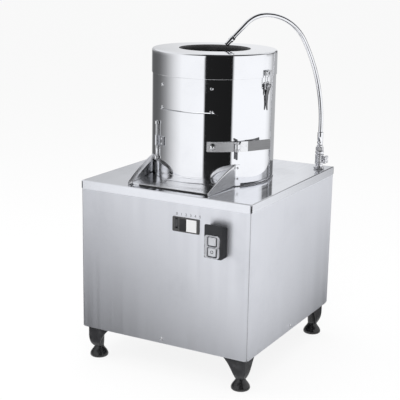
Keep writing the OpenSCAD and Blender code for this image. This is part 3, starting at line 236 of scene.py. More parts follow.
def screw(d, h, socket=0.5):
    """A domed head standing along Z with a hexagonal socket.

    Its dome is z = h sqrt(1 - (r/R)^2), and its socket r = apothem / cos(a mod 60).
    """
    a = np.linspace(0, 2*np.pi, 24, endpoint=False)
    hexed = math.cos(math.pi/6)/np.cos((a + np.pi/6) % (np.pi/3) - np.pi/6)
    rim = d/2*socket
    side = d/2*np.ones(24)
    rows = [(side, 0.0), (side, h*0.22)]
    rows += [(side*math.cos(t), h*(0.22 + 0.78*math.sin(t))) for t in np.radians([25, 45, 58])]
    rows += [(rim*hexed, h), (rim*hexed*0.96, h*0.35), (0.001*hexed, h*0.25)]
    points = np.array([np.stack([r*np.cos(a), r*np.sin(a), np.full(24, z)], axis=-1) for r, z in rows])
    return grid(points, wrap_v=True, ends=True)


def hex_nut(flat, h, bore=0.0, sides=72):
    """A hexagon r = apothem / cos(a mod 60) whose corners are cut by a 30-degree cone above and below."""
    a = np.linspace(0, 2*np.pi, sides, endpoint=False)
    apothem = flat/2
    r = apothem/np.cos((a + np.pi/6) % (np.pi/3) - np.pi/6)
    drop = (r - apothem*0.96)*math.tan(math.radians(30))
    inner, seat = np.full(sides, max(bore, 0.001)), 0*a + apothem*0.94
    rows = [(inner, 0*a), (seat, 0*a), (r, drop), (r, h - drop), (seat, 0*a + h), (inner, 0*a + h)]
    points = np.array([np.stack([q*np.cos(a), q*np.sin(a), z], axis=-1) for q, z in rows])
    return grid(points, wrap_u=bore > 0, wrap_v=True, ends=bore == 0)


def rod(r, length, chamfer=0.5, sides=32):
    """A round bar standing along Z with chamfered ends."""
    side = [(r - chamfer, 0), (r, chamfer), (r, length - chamfer), (r - chamfer, length)]
    return revolve([(0, 0), *side, (0, length)], sides)


def tube(r, bore, length, edge=0.4, sides=48):
    """A round tube along Z: a rectangle with chamfered outer corners, turned once round it."""
    side = [(r - edge, 0), (r, edge), (r, length - edge), (r - edge, length)]
    return revolve([(bore, 0), *side, (bore, length)], sides, loop=True)


# ---- pieces ----

def show(name, data):
    """An object at the origin, linked to the scene."""
    o = bpy.data.objects.new(name, data)
    bpy.context.scene.collection.objects.link(o)
    return o


def clean(mesh, merge=True, outwards=False):
    """Merges a mesh's doubles, and turns a closed mesh's faces outwards."""
    bm = bmesh.new()
    bm.from_mesh(mesh)
    if merge:
        bmesh.ops.remove_doubles(bm, verts=bm.verts, dist=2e-6)
    if outwards:
        bmesh.ops.recalc_face_normals(bm, faces=bm.faces)
    bm.to_mesh(mesh)
    bm.free()


def mesh_of(name, parts):
    """One mesh in metres from a part or a list of parts."""
    points, faces = join(*parts) if isinstance(parts, list) else parts
    mesh = bpy.data.meshes.new(name)
    mesh.from_pydata((points*MM).tolist(), [], faces)
    return mesh


def shade(mesh, angle):
    """Smooth shading with sharp edges past an angle."""
    mesh.shade_smooth()
    mesh.set_sharp_from_angle(angle=math.radians(angle))


def piece(name, parts, look, body, stands_for="", angle=35, keep=False):
    """Puts parts into one piece of a finish. Closed shapes get faces turned outwards, open ones keep theirs.

    stands_for names the solid that the piece replaces.
    """
    mesh = mesh_of(name, parts)
    clean(mesh, outwards=not keep)
    shade(mesh, angle)
    mesh.materials.append(FINISH[look])
    o = show(name, mesh)
    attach(o, body)
    if stands_for:
        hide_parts(stands_for)
    return o


def thicken(o, thickness):
    """Gives an open surface its sheet thickness, inwards."""
    m = o.modifiers.new("sheet", "SOLIDIFY")
    m.thickness = thickness*MM
    m.offset = -1
    m.use_even_offset = True


def finished_mesh(o):
    """A copy of an object's mesh with its modifiers applied."""
    return bpy.data.meshes.new_from_object(o.evaluated_get(bpy.context.evaluated_depsgraph_get()))


def apply_modifiers(o):
    """Replaces the mesh by its finished form."""
    shape = finished_mesh(o)
    old = o.data
    o.modifiers.clear()
    o.data = shape
    shape.name = old.name
    bpy.data.meshes.remove(old)


def carve(o, cutters):
    """Cuts closed parts out of a piece."""
    mesh = mesh_of("cutter", cutters)
    clean(mesh, merge=False, outwards=True)
    tool = show("cutter", mesh)
    m = o.modifiers.new("cut", "BOOLEAN")
    m.operation = "DIFFERENCE"
    m.solver = "EXACT"
    m.object = tool
    apply_modifiers(o)
    bpy.data.objects.remove(tool)
    bpy.data.meshes.remove(mesh)
    shade(o.data, 35)


# ---- shared effects ----

def effect(name, outputs, **inputs):
    """An empty node group with a Vector and further inputs at their values, and named float outputs."""
    tree = bpy.data.node_groups.new(name, "ShaderNodeTree")
    for title, value in {"Vector": (0, 0, 0), **inputs}.items():
        kind = "NodeSocketVector" if isinstance(value, tuple) else "NodeSocketFloat"
        tree.interface.new_socket(title, in_out="INPUT", socket_type=kind).default_value = value
    for title in outputs:
        tree.interface.new_socket(title, in_out="OUTPUT", socket_type="NodeSocketFloat")
    return tree, tree.nodes.new("NodeGroupInput").outputs, tree.nodes.new("NodeGroupOutput").inputs


def node(tree, kind, values=(), **settings):
    """A node with its settings, and its inputs filled or linked by name or number."""
    n = tree.nodes.new(kind)
    for key, value in settings.items():
        setattr(n, key, value)
    for key, value in dict(values).items():
        if isinstance(value, bpy.types.NodeSocket):
            tree.links.new(value, n.inputs[key])
        else:
            n.inputs[key].default_value = value
    return n


def ramp(tree, value, low, high, out_low=0.0, out_high=1.0, smooth=True):
    """Maps a value from one range to another, held at the ends."""
    values = {"Value": value, "From Min": low, "From Max": high, "To Min": out_low, "To Max": out_high}
    kind = "SMOOTHSTEP" if smooth else "LINEAR"
    return node(tree, "ShaderNodeMapRange", values, interpolation_type=kind).outputs["Result"]


def math_node(tree, operation, a, b=0.5):
    """One arithmetic step."""
    return node(tree, "ShaderNodeMath", {0: a, 1: b}, operation=operation).outputs[0]


def times(tree, a, b):
    """a times b."""
    return math_node(tree, "MULTIPLY", a, b)


def noise_of(tree, vector, scale, detail=2.0, rough=0.5):
    """Three-dimensional noise of a vector."""
    values = {"Vector": vector, "Scale": scale, "Detail": detail, "Roughness": rough}
    return node(tree, "ShaderNodeTexNoise", values).outputs["Fac"]


def make_haze():
    """Smears and finger marks: broad noise times finer noise, 0 where the metal is clean."""
    tree, i, o = effect("haze", ["Mask"], Scale=6.0)
    broad = ramp(tree, noise_of(tree, i["Vector"], i["Scale"], 3.0), 0.42, 0.72)
    fine = noise_of(tree, i["Vector"], times(tree, i["Scale"], 9.0), 4.0, 0.6)
    tree.links.new(times(tree, broad, fine), o["Mask"])
    return tree


def make_grain():
    """Brushing: noise squeezed across the stroke and long along it; Stretch holds the two scales."""
    tree, i, o = effect("grain", ["Value", "Broad"], Stretch=(900.0, 900.0, 9.0))
    stroke = node(tree, "ShaderNodeVectorMath", {0: i["Vector"], 1: i["Stretch"]},
                  operation="MULTIPLY").outputs[0]
    tree.links.new(noise_of(tree, stroke, 1.0, 4.0, 0.65), o["Value"])
    tree.links.new(noise_of(tree, stroke, 0.08, 3.0, 0.6), o["Broad"])
    return tree


def make_scratches():
    """Hairline scratches: thin dark lines where a stretched, bent noise crosses its middle value."""
    tree, i, o = effect("scratches", ["Mask"], Scale=30.0)
    found = []
    for turn, stretch in ((0.5, 7.0), (2.1, 11.0)):
        bent = {"Vector": i["Vector"], "Rotation": (turn, turn*0.7, turn), "Scale": (stretch, 1.0, 1.0)}
        f = noise_of(tree, node(tree, "ShaderNodeMapping", bent).outputs[0], i["Scale"], 1.0, 0.4)
        line = math_node(tree, "ABSOLUTE", math_node(tree, "SUBTRACT", f, 0.5))
        found.append(ramp(tree, line, 0.0, 0.004, 1.0, 0.0, False))
    here = ramp(tree, noise_of(tree, i["Vector"], 14.0, 1.0), 0.5, 0.62)
    tree.links.new(times(tree, math_node(tree, "MAXIMUM", *found), here), o["Mask"])
    return tree


def make_dust():
    """Dust that settles where a face looks up: the normal's height times fine noise."""
    tree, i, o = effect("dust", ["Mask"], Scale=220.0)
    normal = tree.nodes.new("ShaderNodeNewGeometry").outputs["Normal"]
    up = ramp(tree, node(tree, "ShaderNodeSeparateXYZ", {0: normal}).outputs["Z"], 0.35, 1.0)
    speck = ramp(tree, noise_of(tree, i["Vector"], i["Scale"], 3.0, 0.7), 0.42, 0.7)
    tree.links.new(times(tree, up, speck), o["Mask"])
    return tree


def make_grit():
    """Crushed grit: cells of two sizes give the height, and a few cells catch the light."""
    tree, i, o = effect("grit", ["Height", "Glint"], Scale=420.0)
    big = node(tree, "ShaderNodeTexVoronoi", {"Vector": i["Vector"], "Scale": i["Scale"]})
    small = node(tree, "ShaderNodeTexVoronoi", {"Vector": i["Vector"], "Scale": times(tree, i["Scale"], 2.7)})
    depth = math_node(tree, "ADD", big.outputs["Distance"], times(tree, small.outputs["Distance"], 0.4))
    tree.links.new(math_node(tree, "SUBTRACT", 1.0, depth), o["Height"])
    pick = node(tree, "ShaderNodeSeparateColor", {0: big.outputs["Color"]}).outputs[0]
    tree.links.new(ramp(tree, pick, 0.86, 0.94), o["Glint"])
    return tree


def make_cast():
    """Sand-cast skin: fine grains on broad, shallow hollows."""
    tree, i, o = effect("cast_skin", ["Height", "Broad"], Scale=700.0)
    fine = noise_of(tree, i["Vector"], i["Scale"], 3.0, 0.7)
    broad = noise_of(tree, i["Vector"], times(tree, i["Scale"], 0.09), 2.0)
    tree.links.new(math_node(tree, "ADD", times(tree, fine, 0.6), broad), o["Height"])
    tree.links.new(broad, o["Broad"])
    return tree


HAZE, GRAIN, SCRATCHES = make_haze(), make_grain(), make_scratches()
DUST, GRIT, CAST = make_dust(), make_grit(), make_cast()


# ---- finishes ----

def use(tree, group, place_vector, **values):
    """Places a shared effect in a material with its own values."""
    n = tree.nodes.new("ShaderNodeGroup")
    n.node_tree = group
    tree.links.new(place_vector, n.inputs["Vector"])
    for key, value in values.items():
        n.inputs[key].default_value = value
    return n.outputs


def new_finish(name, **uniform):
    """A material with its principled shader, whose uniform numbers are set on the shader itself."""
    m = bpy.data.materials.new(name)
    m.use_nodes = True
    tree = m.node_tree
    shader = next(n for n in tree.nodes if n.type == "BSDF_PRINCIPLED")
    for key, value in uniform.items():
        shader.inputs[key.replace("_", " ")].default_value = value
    here = tree.nodes.new("ShaderNodeTexCoord").outputs["Object"]
    return m, tree, shader, here


def finish(tree, shader, colour, rough, height, depth, strength=1.0):
    """Feeds the shader its colour, its roughness and a normal from a height, whose depth is in metres."""
    tree.links.new(colour, shader.inputs["Base Color"])
    tree.links.new(rough, shader.inputs["Roughness"])
    b = node(tree, "ShaderNodeBump", {"Height": height, "Strength": strength, "Distance": depth})
    tree.links.new(b.outputs["Normal"], shader.inputs["Normal"])


def mix_colour(tree, fac, a, b):
    """Blends two colours by a mask."""
    opaque = [value if isinstance(value, bpy.types.NodeSocket) else (*value, 1.0) for value in (a, b)]
    return node(tree, "ShaderNodeMix", {"Factor": fac, 6: opaque[0], 7: opaque[1]},
                data_type="RGBA").outputs[2]


def metal(name, colour, dark, rough, rough_worn, stretch=None, grain_depth=0.0, wave=0.0, wave_scale=5.0,
          haze_scale=6.0, streak=0.35):
    """Bare metal: haze and hairlines darken and roughen it, and brushing and slow waves tilt the normal."""
    m, tree, shader, here = new_finish(name, Metallic=1.0)
    haze = use(tree, HAZE, here, Scale=haze_scale)["Mask"]
    lines = use(tree, SCRATCHES, here, Scale=26.0)["Mask"]
    worn = math_node(tree, "MAXIMUM", haze, times(tree, lines, 0.7))
    tone = times(tree, worn, 0.6)
    rough_value = ramp(tree, worn, 0.0, 0.8, rough, rough_worn, False)
    height = times(tree, noise_of(tree, here, wave_scale, 1.0), wave)
    if stretch:
        grain = use(tree, GRAIN, here, Stretch=stretch)
        tone = math_node(tree, "ADD", tone, ramp(tree, grain["Value"], 0.35, 0.75, 0.0, streak))
        rough_value = math_node(tree, "ADD", rough_value, ramp(tree, grain["Broad"], 0.3, 0.7, -0.04, 0.05))
        height = math_node(tree, "ADD", height, times(tree, grain["Value"], grain_depth))
    finish(tree, shader, mix_colour(tree, tone, colour, dark), rough_value, height, 0.001)
    return m


def moulded(name, colour, worn, rough, depth=0.02, texture=1400.0, dust=0.25, shine=0.5):
    """Plastic, rubber or paint: a fine texture, dust on faces that look up, and faint handling marks."""
    m, tree, shader, here = new_finish(name, Specular_IOR_Level=shine)
    haze = use(tree, HAZE, here, Scale=18.0)["Mask"]
    settled = times(tree, use(tree, DUST, here)["Mask"], dust)
    tone = math_node(tree, "MAXIMUM", times(tree, haze, 0.4), settled)
    rough_value = ramp(tree, tone, 0.0, 0.6, rough, min(1.0, rough + 0.3), False)
    height = noise_of(tree, here, texture, 2.0, 0.6)
    finish(tree, shader, mix_colour(tree, tone, colour, worn), rough_value, height, 0.001, depth)
    return m


def make_abrasive():
    """Grit set in dark resin: cells give the height, and some grains are bright."""
    m, tree, shader, here = new_finish("abrasive_grit")
    grit = use(tree, GRIT, here, Scale=420.0)
    broad = ramp(tree, noise_of(tree, here, 40.0, 3.0), 0.35, 0.7)
    base = mix_colour(tree, broad, (0.045, 0.045, 0.05), (0.11, 0.105, 0.1))
    colour = mix_colour(tree, grit["Glint"], base, (0.42, 0.42, 0.44))
    finish(tree, shader, colour, ramp(tree, grit["Glint"], 0.0, 1.0, 0.75, 0.25), grit["Height"], 0.0015)
    return m


def make_cast_iron(name, colour, worn, rough):
    """Cast iron under thin enamel: the skin's grains tilt the normal, and raised ground is paler."""
    m, tree, shader, here = new_finish(name)
    skin = use(tree, CAST, here, Scale=700.0)
    settled = times(tree, use(tree, DUST, here)["Mask"], 0.3)
    tone = math_node(tree, "MAXIMUM", ramp(tree, skin["Broad"], 0.45, 0.75, 0.0, 0.5), settled)
    rough_value = ramp(tree, skin["Height"], 0.6, 1.2, rough - 0.08, rough + 0.12)
    finish(tree, shader, mix_colour(tree, tone, colour, worn), rough_value, skin["Height"], 0.0004)
    return m


def make_silicone():
    """Translucent moulded silicone with a soft haze."""
    m, tree, shader, here = new_finish("milky_silicone", Transmission_Weight=0.55, IOR=1.41)
    haze = use(tree, HAZE, here, Scale=40.0)["Mask"]
    colour = mix_colour(tree, haze, (0.72, 0.73, 0.77), (0.55, 0.55, 0.58))
    rough = ramp(tree, haze, 0.0, 0.8, 0.22, 0.45)
    finish(tree, shader, colour, rough, noise_of(tree, here, 600.0), 0.0005, 0.05)
    return m


BRIGHT, BRIGHT_WORN = (0.90, 0.905, 0.925), (0.74, 0.745, 0.77)
FLAT_GRAIN = (60.0, 60.0, 1500.0)
FINISH = {
    "mirror_steel": metal("mirror_polished_steel", BRIGHT, BRIGHT_WORN,
                          0.035, 0.13, wave=0.10, wave_scale=5.5),
    "polished_sheet": metal("polished_steel_sheet", (0.83, 0.84, 0.875), (0.66, 0.67, 0.70),
                            0.11, 0.22, (700.0, 7.0, 700.0), 0.004, 0.12, 4.0),
    "brushed_sheet": metal("satin_steel_sheet", (0.86, 0.87, 0.91), (0.74, 0.75, 0.79),
                           0.42, 0.48, (1100.0, 1100.0, 9.0), 0.004, 0.035, 4.5, streak=0.08),
    "strap_steel": metal("satin_strap_steel", (0.80, 0.80, 0.815), (0.62, 0.62, 0.63),
                         0.55, 0.65, FLAT_GRAIN, 0.02),
    "screw_steel": metal("bright_fastener_steel", (0.84, 0.845, 0.86), (0.62, 0.62, 0.64),
                         0.12, 0.3, haze_scale=60.0),
    "clamp_steel": metal("plated_clamp_steel", (0.60, 0.605, 0.62), (0.36, 0.36, 0.37),
                         0.16, 0.38, haze_scale=70.0),
    "grip_steel": metal("dull_grip_steel", (0.27, 0.27, 0.275), (0.18, 0.18, 0.18),
                        0.36, 0.5, FLAT_GRAIN, 0.02),
    "lever_steel": metal("dark_lever_steel", (0.16, 0.16, 0.165), (0.08, 0.08, 0.08),
                         0.28, 0.45, haze_scale=70.0),
    "satin_chrome": metal("satin_chrome_plate", (0.90, 0.90, 0.92), (0.72, 0.72, 0.74),
                          0.36, 0.46, haze_scale=45.0),
    "pan_steel": metal("satin_pan_steel", (0.92, 0.925, 0.94), (0.78, 0.78, 0.80),
                       0.17, 0.26, (7.0, 700.0, 700.0), 0.004, 0.08, 4.0),
    "wing_satin": metal("satin_left_wing_steel", BRIGHT, BRIGHT_WORN, 0.22, 0.32, wave=0.04),
    "wing_steel": metal("satin_wing_steel", BRIGHT, BRIGHT_WORN, 0.09, 0.17, wave=0.05),
    "hem_steel": metal("satin_hem_steel", (0.88, 0.88, 0.895), (0.74, 0.74, 0.75), 0.36, 0.46),
    "joint_steel": metal("shaded_joint_steel", (0.50, 0.50, 0.52), (0.35, 0.35, 0.36), 0.45, 0.55),
    "dark_pin": metal("dark_pin_steel", (0.20, 0.20, 0.21), (0.10, 0.10, 0.10), 0.3, 0.5, haze_scale=50.0),
    "frame_steel": metal("mill_finish_steel", (0.50, 0.51, 0.53), (0.30, 0.29, 0.28),
                         0.42, 0.6, (60.0, 60.0, 500.0), 0.03, haze_scale=9.0),
    "shaft_steel": metal("ground_shaft_steel", (0.66, 0.67, 0.69), (0.45, 0.45, 0.46),
                         0.22, 0.4, (20.0, 20.0, 2400.0), 0.006, haze_scale=30.0),
    "bearing_steel": metal("ground_bearing_steel", (0.74, 0.75, 0.78), (0.5, 0.5, 0.52),
                           0.18, 0.35, haze_scale=60.0),
    "cast_alloy": metal("cast_alloy", (0.60, 0.61, 0.63), (0.42, 0.42, 0.43),
                        0.45, 0.6, (900.0, 900.0, 900.0), 0.05, haze_scale=20.0),
    "chrome_fittings": metal("chrome_plate", BRIGHT, (0.70, 0.70, 0.72), 0.04, 0.16, haze_scale=45.0),
    "cast_grey": make_cast_iron("grey_cast_iron", (0.13, 0.13, 0.135), (0.24, 0.235, 0.23), 0.55),
    "cast_leg": make_cast_iron("enamelled_leg_iron", (0.028, 0.028, 0.031), (0.075, 0.075, 0.08), 0.42),
    "foot_rubber": moulded("gloss_foot_rubber", (0.012, 0.012, 0.013), (0.06, 0.06, 0.062),
                           0.18, 0.03, 500.0, 0.3),
    "black_rubber": moulded("plain_black_rubber", (0.02, 0.02, 0.021), (0.09, 0.09, 0.09),
                            0.55, 0.1, 900.0, 0.4),
    "motor_paint": moulded("blue_grey_machine_enamel", (0.075, 0.115, 0.16), (0.16, 0.18, 0.2),
                           0.35, 0.08, 300.0, 0.5),
    "fan_cover_paint": moulded("dark_grey_enamel", (0.04, 0.042, 0.046), (0.11, 0.11, 0.11),
                               0.4, 0.06, 400.0, 0.5),
    "black_plastic": moulded("black_moulded_plastic", (0.014, 0.014, 0.016), (0.06, 0.06, 0.062),
                             0.3, 0.05, 1500.0, 0.2, shine=0.3),
    "bezel_plastic": moulded("dark_grey_bezel_plastic", (0.062, 0.061, 0.062), (0.11, 0.11, 0.11),
                             0.36, 0.05, 1500.0, 0.2, shine=0.3),
    "mark_ink": moulded("grey_printed_marks", (0.11, 0.11, 0.115), (0.2, 0.2, 0.2), 0.5, 0.02, 1500.0, 0.05),
    "rocker_plastic": moulded("dark_rocker_plastic", (0.035, 0.035, 0.037), (0.09, 0.09, 0.09),
                              0.35, 0.04, 1500.0, 0.1),
    "switch_plastic": moulded("dark_grey_housing_plastic", (0.026, 0.027, 0.030), (0.07, 0.07, 0.075),
                              0.50, 0.12, 1300.0, 0.3, shine=0.2),
    "white_plastic": moulded("white_scale_plastic", (0.74, 0.74, 0.745), (0.68, 0.67, 0.63),
                             0.4, 0.02, 900.0, 0.1),
    "button_plastic": moulded("pale_grey_button_plastic", (0.52, 0.53, 0.56), (0.40, 0.40, 0.42),
                              0.38, 0.04, 1500.0, 0.15),
    "abrasive": make_abrasive(),
    "clear_silicone": make_silicone(),
}

# Every solid that stays in view gets the finish of its own slot.
for subpart in frame["record"]["subparts"]:
    shown = frame["nodes"][subpart["node"]]
    shown.data.materials.clear()
    shown.data.materials.append(FINISH[subpart["material_slot"]])


# ---- stage ----

def steps(x, knots):
    """Straight-line interpolation between knots of place and value."""
    k = np.array(knots, float)
    return np.interp(x, k[:, 0], k[:, 1])


def card_paint(name):
    """A plain emitter, its brightness read from the card's own attribute."""
    m = bpy.data.materials.new(name)
    m.use_nodes = True
    tree = m.node_tree
    tree.nodes.clear()
    tone = node(tree, "ShaderNodeAttribute", attribute_name="tone").outputs["Fac"]
    light = node(tree, "ShaderNodeEmission", {"Color": (0.97, 0.98, 1.0, 1.0), "Strength": tone})
    out = tree.nodes.new("ShaderNodeOutputMaterial")
    tree.links.new(light.outputs[0], out.inputs["Surface"])
    return m


def card(name, x, y, z, tones):
    """A card that only reflections see: a grid of points in metres with a tone at each."""
    p, faces = grid(np.stack(np.broadcast_arrays(x, y, z), axis=-1))
    mesh = bpy.data.meshes.new(name)
    mesh.from_pydata(p.tolist(), [], faces)
    tones = np.broadcast_to(tones, np.broadcast(x, y, z).shape)
    values = mesh.attributes.new("tone", "FLOAT", "POINT").data
    values.foreach_set("value", tones.reshape(-1).astype(np.float32))
    mesh.materials.append(card_paint(name))
    o = show(name, mesh)
    o.visible_camera = o.visible_diffuse = o.visible_shadow = False
    o.visible_transmission = o.visible_volume_scatter = False


def studio():
    """A ring of card round the machine with a tone for each direction, and two shaded strips on the floor.

    Below the deck the ring has the low tones and above it the high ones. One dark band is what the chute's
    wing sees, and a dark zone over the machine's near side draws the cap's edge.
    """
    azimuth = np.linspace(-180, 180, 361)
    height = np.concatenate([np.linspace(0.0, 0.85, 18), np.linspace(0.86, 1.05, 20),
                             np.linspace(1.1, 1.6, 11),
                             np.linspace(1.7, RING_TOP, 21)])[:, None]
    low = steps(azimuth, [(-180, 0.14), (-175, 0.155), (-166, 0.235), (-157, 0.34), (-147, 0.53),
                          (-137, 0.74), (-128, 0.90), (-120, 1.02), (-80, 1.06), (-77, 0.015), (-31, 0.012),
                          (-27.5, 1.06), (46, 1.06), (57, 0.88), (60, 0.76), (65, 0.55), (72, 0.45),
                          (118, 0.50), (140, 0.30), (150, 0.12), (171, 0.12), (180, 0.14)])
    high = steps(azimuth, [(-180, 0.3), (-120, 1.0), (-79, 1.06), (-76, 0.015), (-31, 0.012), (-27.5, 1.06),
                           (30, 1.06), (41, 0.80), (47, 0.15), (60, 0.15), (72, 0.18), (88, 0.14), (94, 0.20),
                           (101, 0.72), (105, 0.88), (118, 0.88), (128, 0.68), (150, 0.52), (180, 0.3)])
    lift = steps(height, [(0.72, 0), (0.80, 1)])
    tone = low*(1 - lift) + high*lift
    wing = lift*steps(azimuth, [(40, 0), (44, 1), (56, 1), (60, 0)])
    band = steps(height, [(0.912, 0.5), (0.926, 0.015), (0.968, 0.015), (0.985, 0.45), (1.1, 0.45),
                          (1.2, 0.15)])
    tone = tone*(1 - wing) + wing*band
    near = steps(azimuth, [(-126, 0), (-112, 1), (42, 1), (54, 0)])
    above = steps(height, [(1.28, 0), (1.42, 1)])
    tone = tone*(1 - above) + above*(0.85 - 0.82*near)
    a = np.radians(azimuth)[None]
    card("ring_card", RING_R*np.cos(a), RING_R*np.sin(a), height, tone)
    r = np.linspace(0.0, RING_R, 15)[:, None]
    card("ceiling_card", r*np.cos(a), r*np.sin(a), RING_TOP, 0.05)

    # Each strip's second factor follows the line of sight mirrored in the panel.
    x, y = np.meshgrid(np.linspace(-1.9, 0.9, 57), np.linspace(-2.6, -0.3, 47), indexing="ij")
    away = steps(-y + 0.7*x, [(0.2, 0.10), (0.3, 0.16), (0.54, 0.33), (0.7, 0.54), (0.9, 0.82), (1.05, 1.04),
                              (1.3, 1.24), (1.6, 1.3)])
    edge = steps((1.384 - x)/(2.052 - y),
                 [(0.5, 1.03), (0.60, 1.02), (0.64, 0.93), (0.66, 0.70), (0.675, 0.35), (0.69, 0.08),
                  (0.75, 0.02)])
    card("front_floor_card", x, y, 0.004, away*edge)
    x, y = np.meshgrid(np.linspace(0.27, 1.5, 42), np.linspace(-0.3, 2.4, 55), indexing="ij")
    away = steps(x, [(0.26, 0.14), (0.35, 0.34), (0.42, 0.50), (0.5, 0.62), (0.7, 0.78), (0.9, 0.90),
                     (1.1, 1.0)])
    edge = steps((y + 2.613)/(x + 0.857),
                 [(2.05, 1.14), (2.2, 1.05), (2.31, 0.88), (2.37, 0.70), (2.42, 0.46), (2.46, 0.24),
                  (2.52, 0.08), (2.6, 0.04)])
    card("side_floor_card", x, y, 0.004, away*edge)


def seen_directly(tree):
    """1 on rays from the camera, from reflections and through clear parts."""
    path = tree.nodes.new("ShaderNodeLightPath").outputs
    mirrored = math_node(tree, "MAXIMUM", path["Is Glossy Ray"], path["Is Transmission Ray"])
    return math_node(tree, "MAXIMUM", path["Is Camera Ray"], mirrored)


def floor():
    """A pale floor: diffuse to light, near white to the camera and to reflections, with the shadow kept."""
    m = bpy.data.materials.new("pale_floor")
    m.use_nodes = True
    tree = m.node_tree
    tree.nodes.clear()
    paint = node(tree, "ShaderNodeBsdfDiffuse", {"Color": (0.90, 0.90, 0.90, 1)}).outputs[0]
    glow = node(tree, "ShaderNodeEmission", {"Color": (1, 1, 1, 1), "Strength": 1.0}).outputs[0]
    share = times(tree, seen_directly(tree), 0.87)
    both = node(tree, "ShaderNodeMixShader", {0: share, 1: paint, 2: glow}).outputs[0]
    out = tree.nodes.new("ShaderNodeOutputMaterial")
    tree.links.new(both, out.inputs["Surface"])
    mesh = bpy.data.meshes.new("floor")
    mesh.from_pydata([(-20, -20, 0), (20, -20, 0), (20, 20, 0), (-20, 20, 0)], [], [[0, 1, 2, 3]])
    mesh.materials.append(m)
    show("floor", mesh)


def lamp(name, at, to, size, power):
    """A square area lamp aimed at a point, unseen in reflections."""
    light = bpy.data.lights.new(name, "AREA")
    light.size, light.energy = size, power
    o = show(name, light)
    o.location = at
    o.rotation_euler = (Vector(to) - Vector(at)).to_track_quat("-Z", "Y").to_euler()
    o.visible_glossy = False


def lights():
    """The world at a plain level, white to the camera and to reflections, and three soft lamps."""
    world = bpy.data.worlds.new("studio")
    bpy.context.scene.world = world
    world.use_nodes = True
    tree = world.node_tree
    tree.nodes.clear()
    level = ramp(tree, seen_directly(tree), 0.0, 1.0, 0.62, 1.0, False)
    glow = node(tree, "ShaderNodeBackground", {"Color": (1, 1, 1, 1), "Strength": level}).outputs[0]
    out = tree.nodes.new("ShaderNodeOutputWorld")
    tree.links.new(glow, out.inputs["Surface"])
    lamp("key_lamp", (1.2, -2.4, 2.6), (0.0, 0.0, 0.5), 1.8, 42)
    lamp("top_lamp", (-0.4, 0.2, 3.2), (0.0, 0.0, 0.5), 2.2, 45)
    lamp("left_lamp", (-2.4, -1.6, 1.6), (0.0, 0.0, 0.4), 1.6, 16)


def camera():
    """The camera as solved from the cabinet's corners: yaw, pitch down and roll in degrees."""
    yaw, pitch, roll = (math.radians(v) for v in (28.59, 13.96, 1.04))
    f = Vector((-math.sin(yaw)*math.cos(pitch), math.cos(yaw)*math.cos(pitch), -math.sin(pitch)))
    r = f.cross(Vector((0, 0, 1))).normalized()
    u = r.cross(f)
    right = math.cos(roll)*r + math.sin(roll)*u
    top = -math.sin(roll)*r + math.cos(roll)*u
    data = bpy.data.cameras.new("camera")
    data.lens = 93.645
    data.sensor_width = 36.0
    data.clip_end = 60.0
    o = show("camera", data)
    turned = Matrix((right, top, -f)).transposed().to_4x4()
    o.matrix_world = Matrix.Translation((1.3838, -2.6129, 1.1810)) @ turned
    bpy.context.scene.camera = o


# ---- drum ----

def eased(x, low, high):
    """0 below low, 1 above high and t^2 (3 - 2 t) between them."""
    t = np.clip((x - low)/(high - low), 0, 1)
    return t**2*(3 - 2*t)


def with_rows(section, near=1.5, rows=5):
    """Adds points along a closed outline's long sides, near both ends and between them.

    The light then runs straight over the bent faces.
    """
    out = []
    for p, q in zip(section, np.roll(section, -1, axis=0)):
        out.append(p[None])
        far = math.dist(p, q)
        if far > 4*near:
            share = near/far
            at = np.concatenate([[share/4], np.linspace(share, 1 - share, rows), [1 - share/4]])
            out.append(p + (q - p)*at[:, None])
    return np.concatenate(out)


def curved_plate(a0, a1, r0, r1, z0, z1, corner=3.0, edge=0.4, step=0.8):
    """A sheet bent round the drum with round corners.

    Within the corner's radius c of an end, half its height is H - c + sqrt(c^2 - (c - d)^2) at distance d.
    """
    reach = math.degrees(corner/r1)
    bend = reach*(1 - np.cos(np.linspace(0, np.pi/2, 7)))
    middle = np.linspace(a0 + reach, a1 - reach, max(2, int((a1 - a0)/step)))
    a = np.concatenate([a0 + bend[:-1], middle, a1 - bend[-2::-1]])
    near = np.clip(np.minimum(a - a0, a1 - a)*math.radians(1)*r1, 0, corner)
    half = (z1 - z0)/2
    tall = half - corner + np.sqrt(np.maximum(corner**2 - (corner - near)**2, 0))
    section = with_rows(box_outline(r1 - r0, z1 - z0, min(edge, (r1 - r0)/2.05), 4) + ((r0 + r1)/2, 0))
    z = (z0 + z1)/2 + section[None, :, 1]*tall[:, None]/half
    return grid(polar(a[:, None], section[None, :, 0], z), wrap_v=True, ends=True)


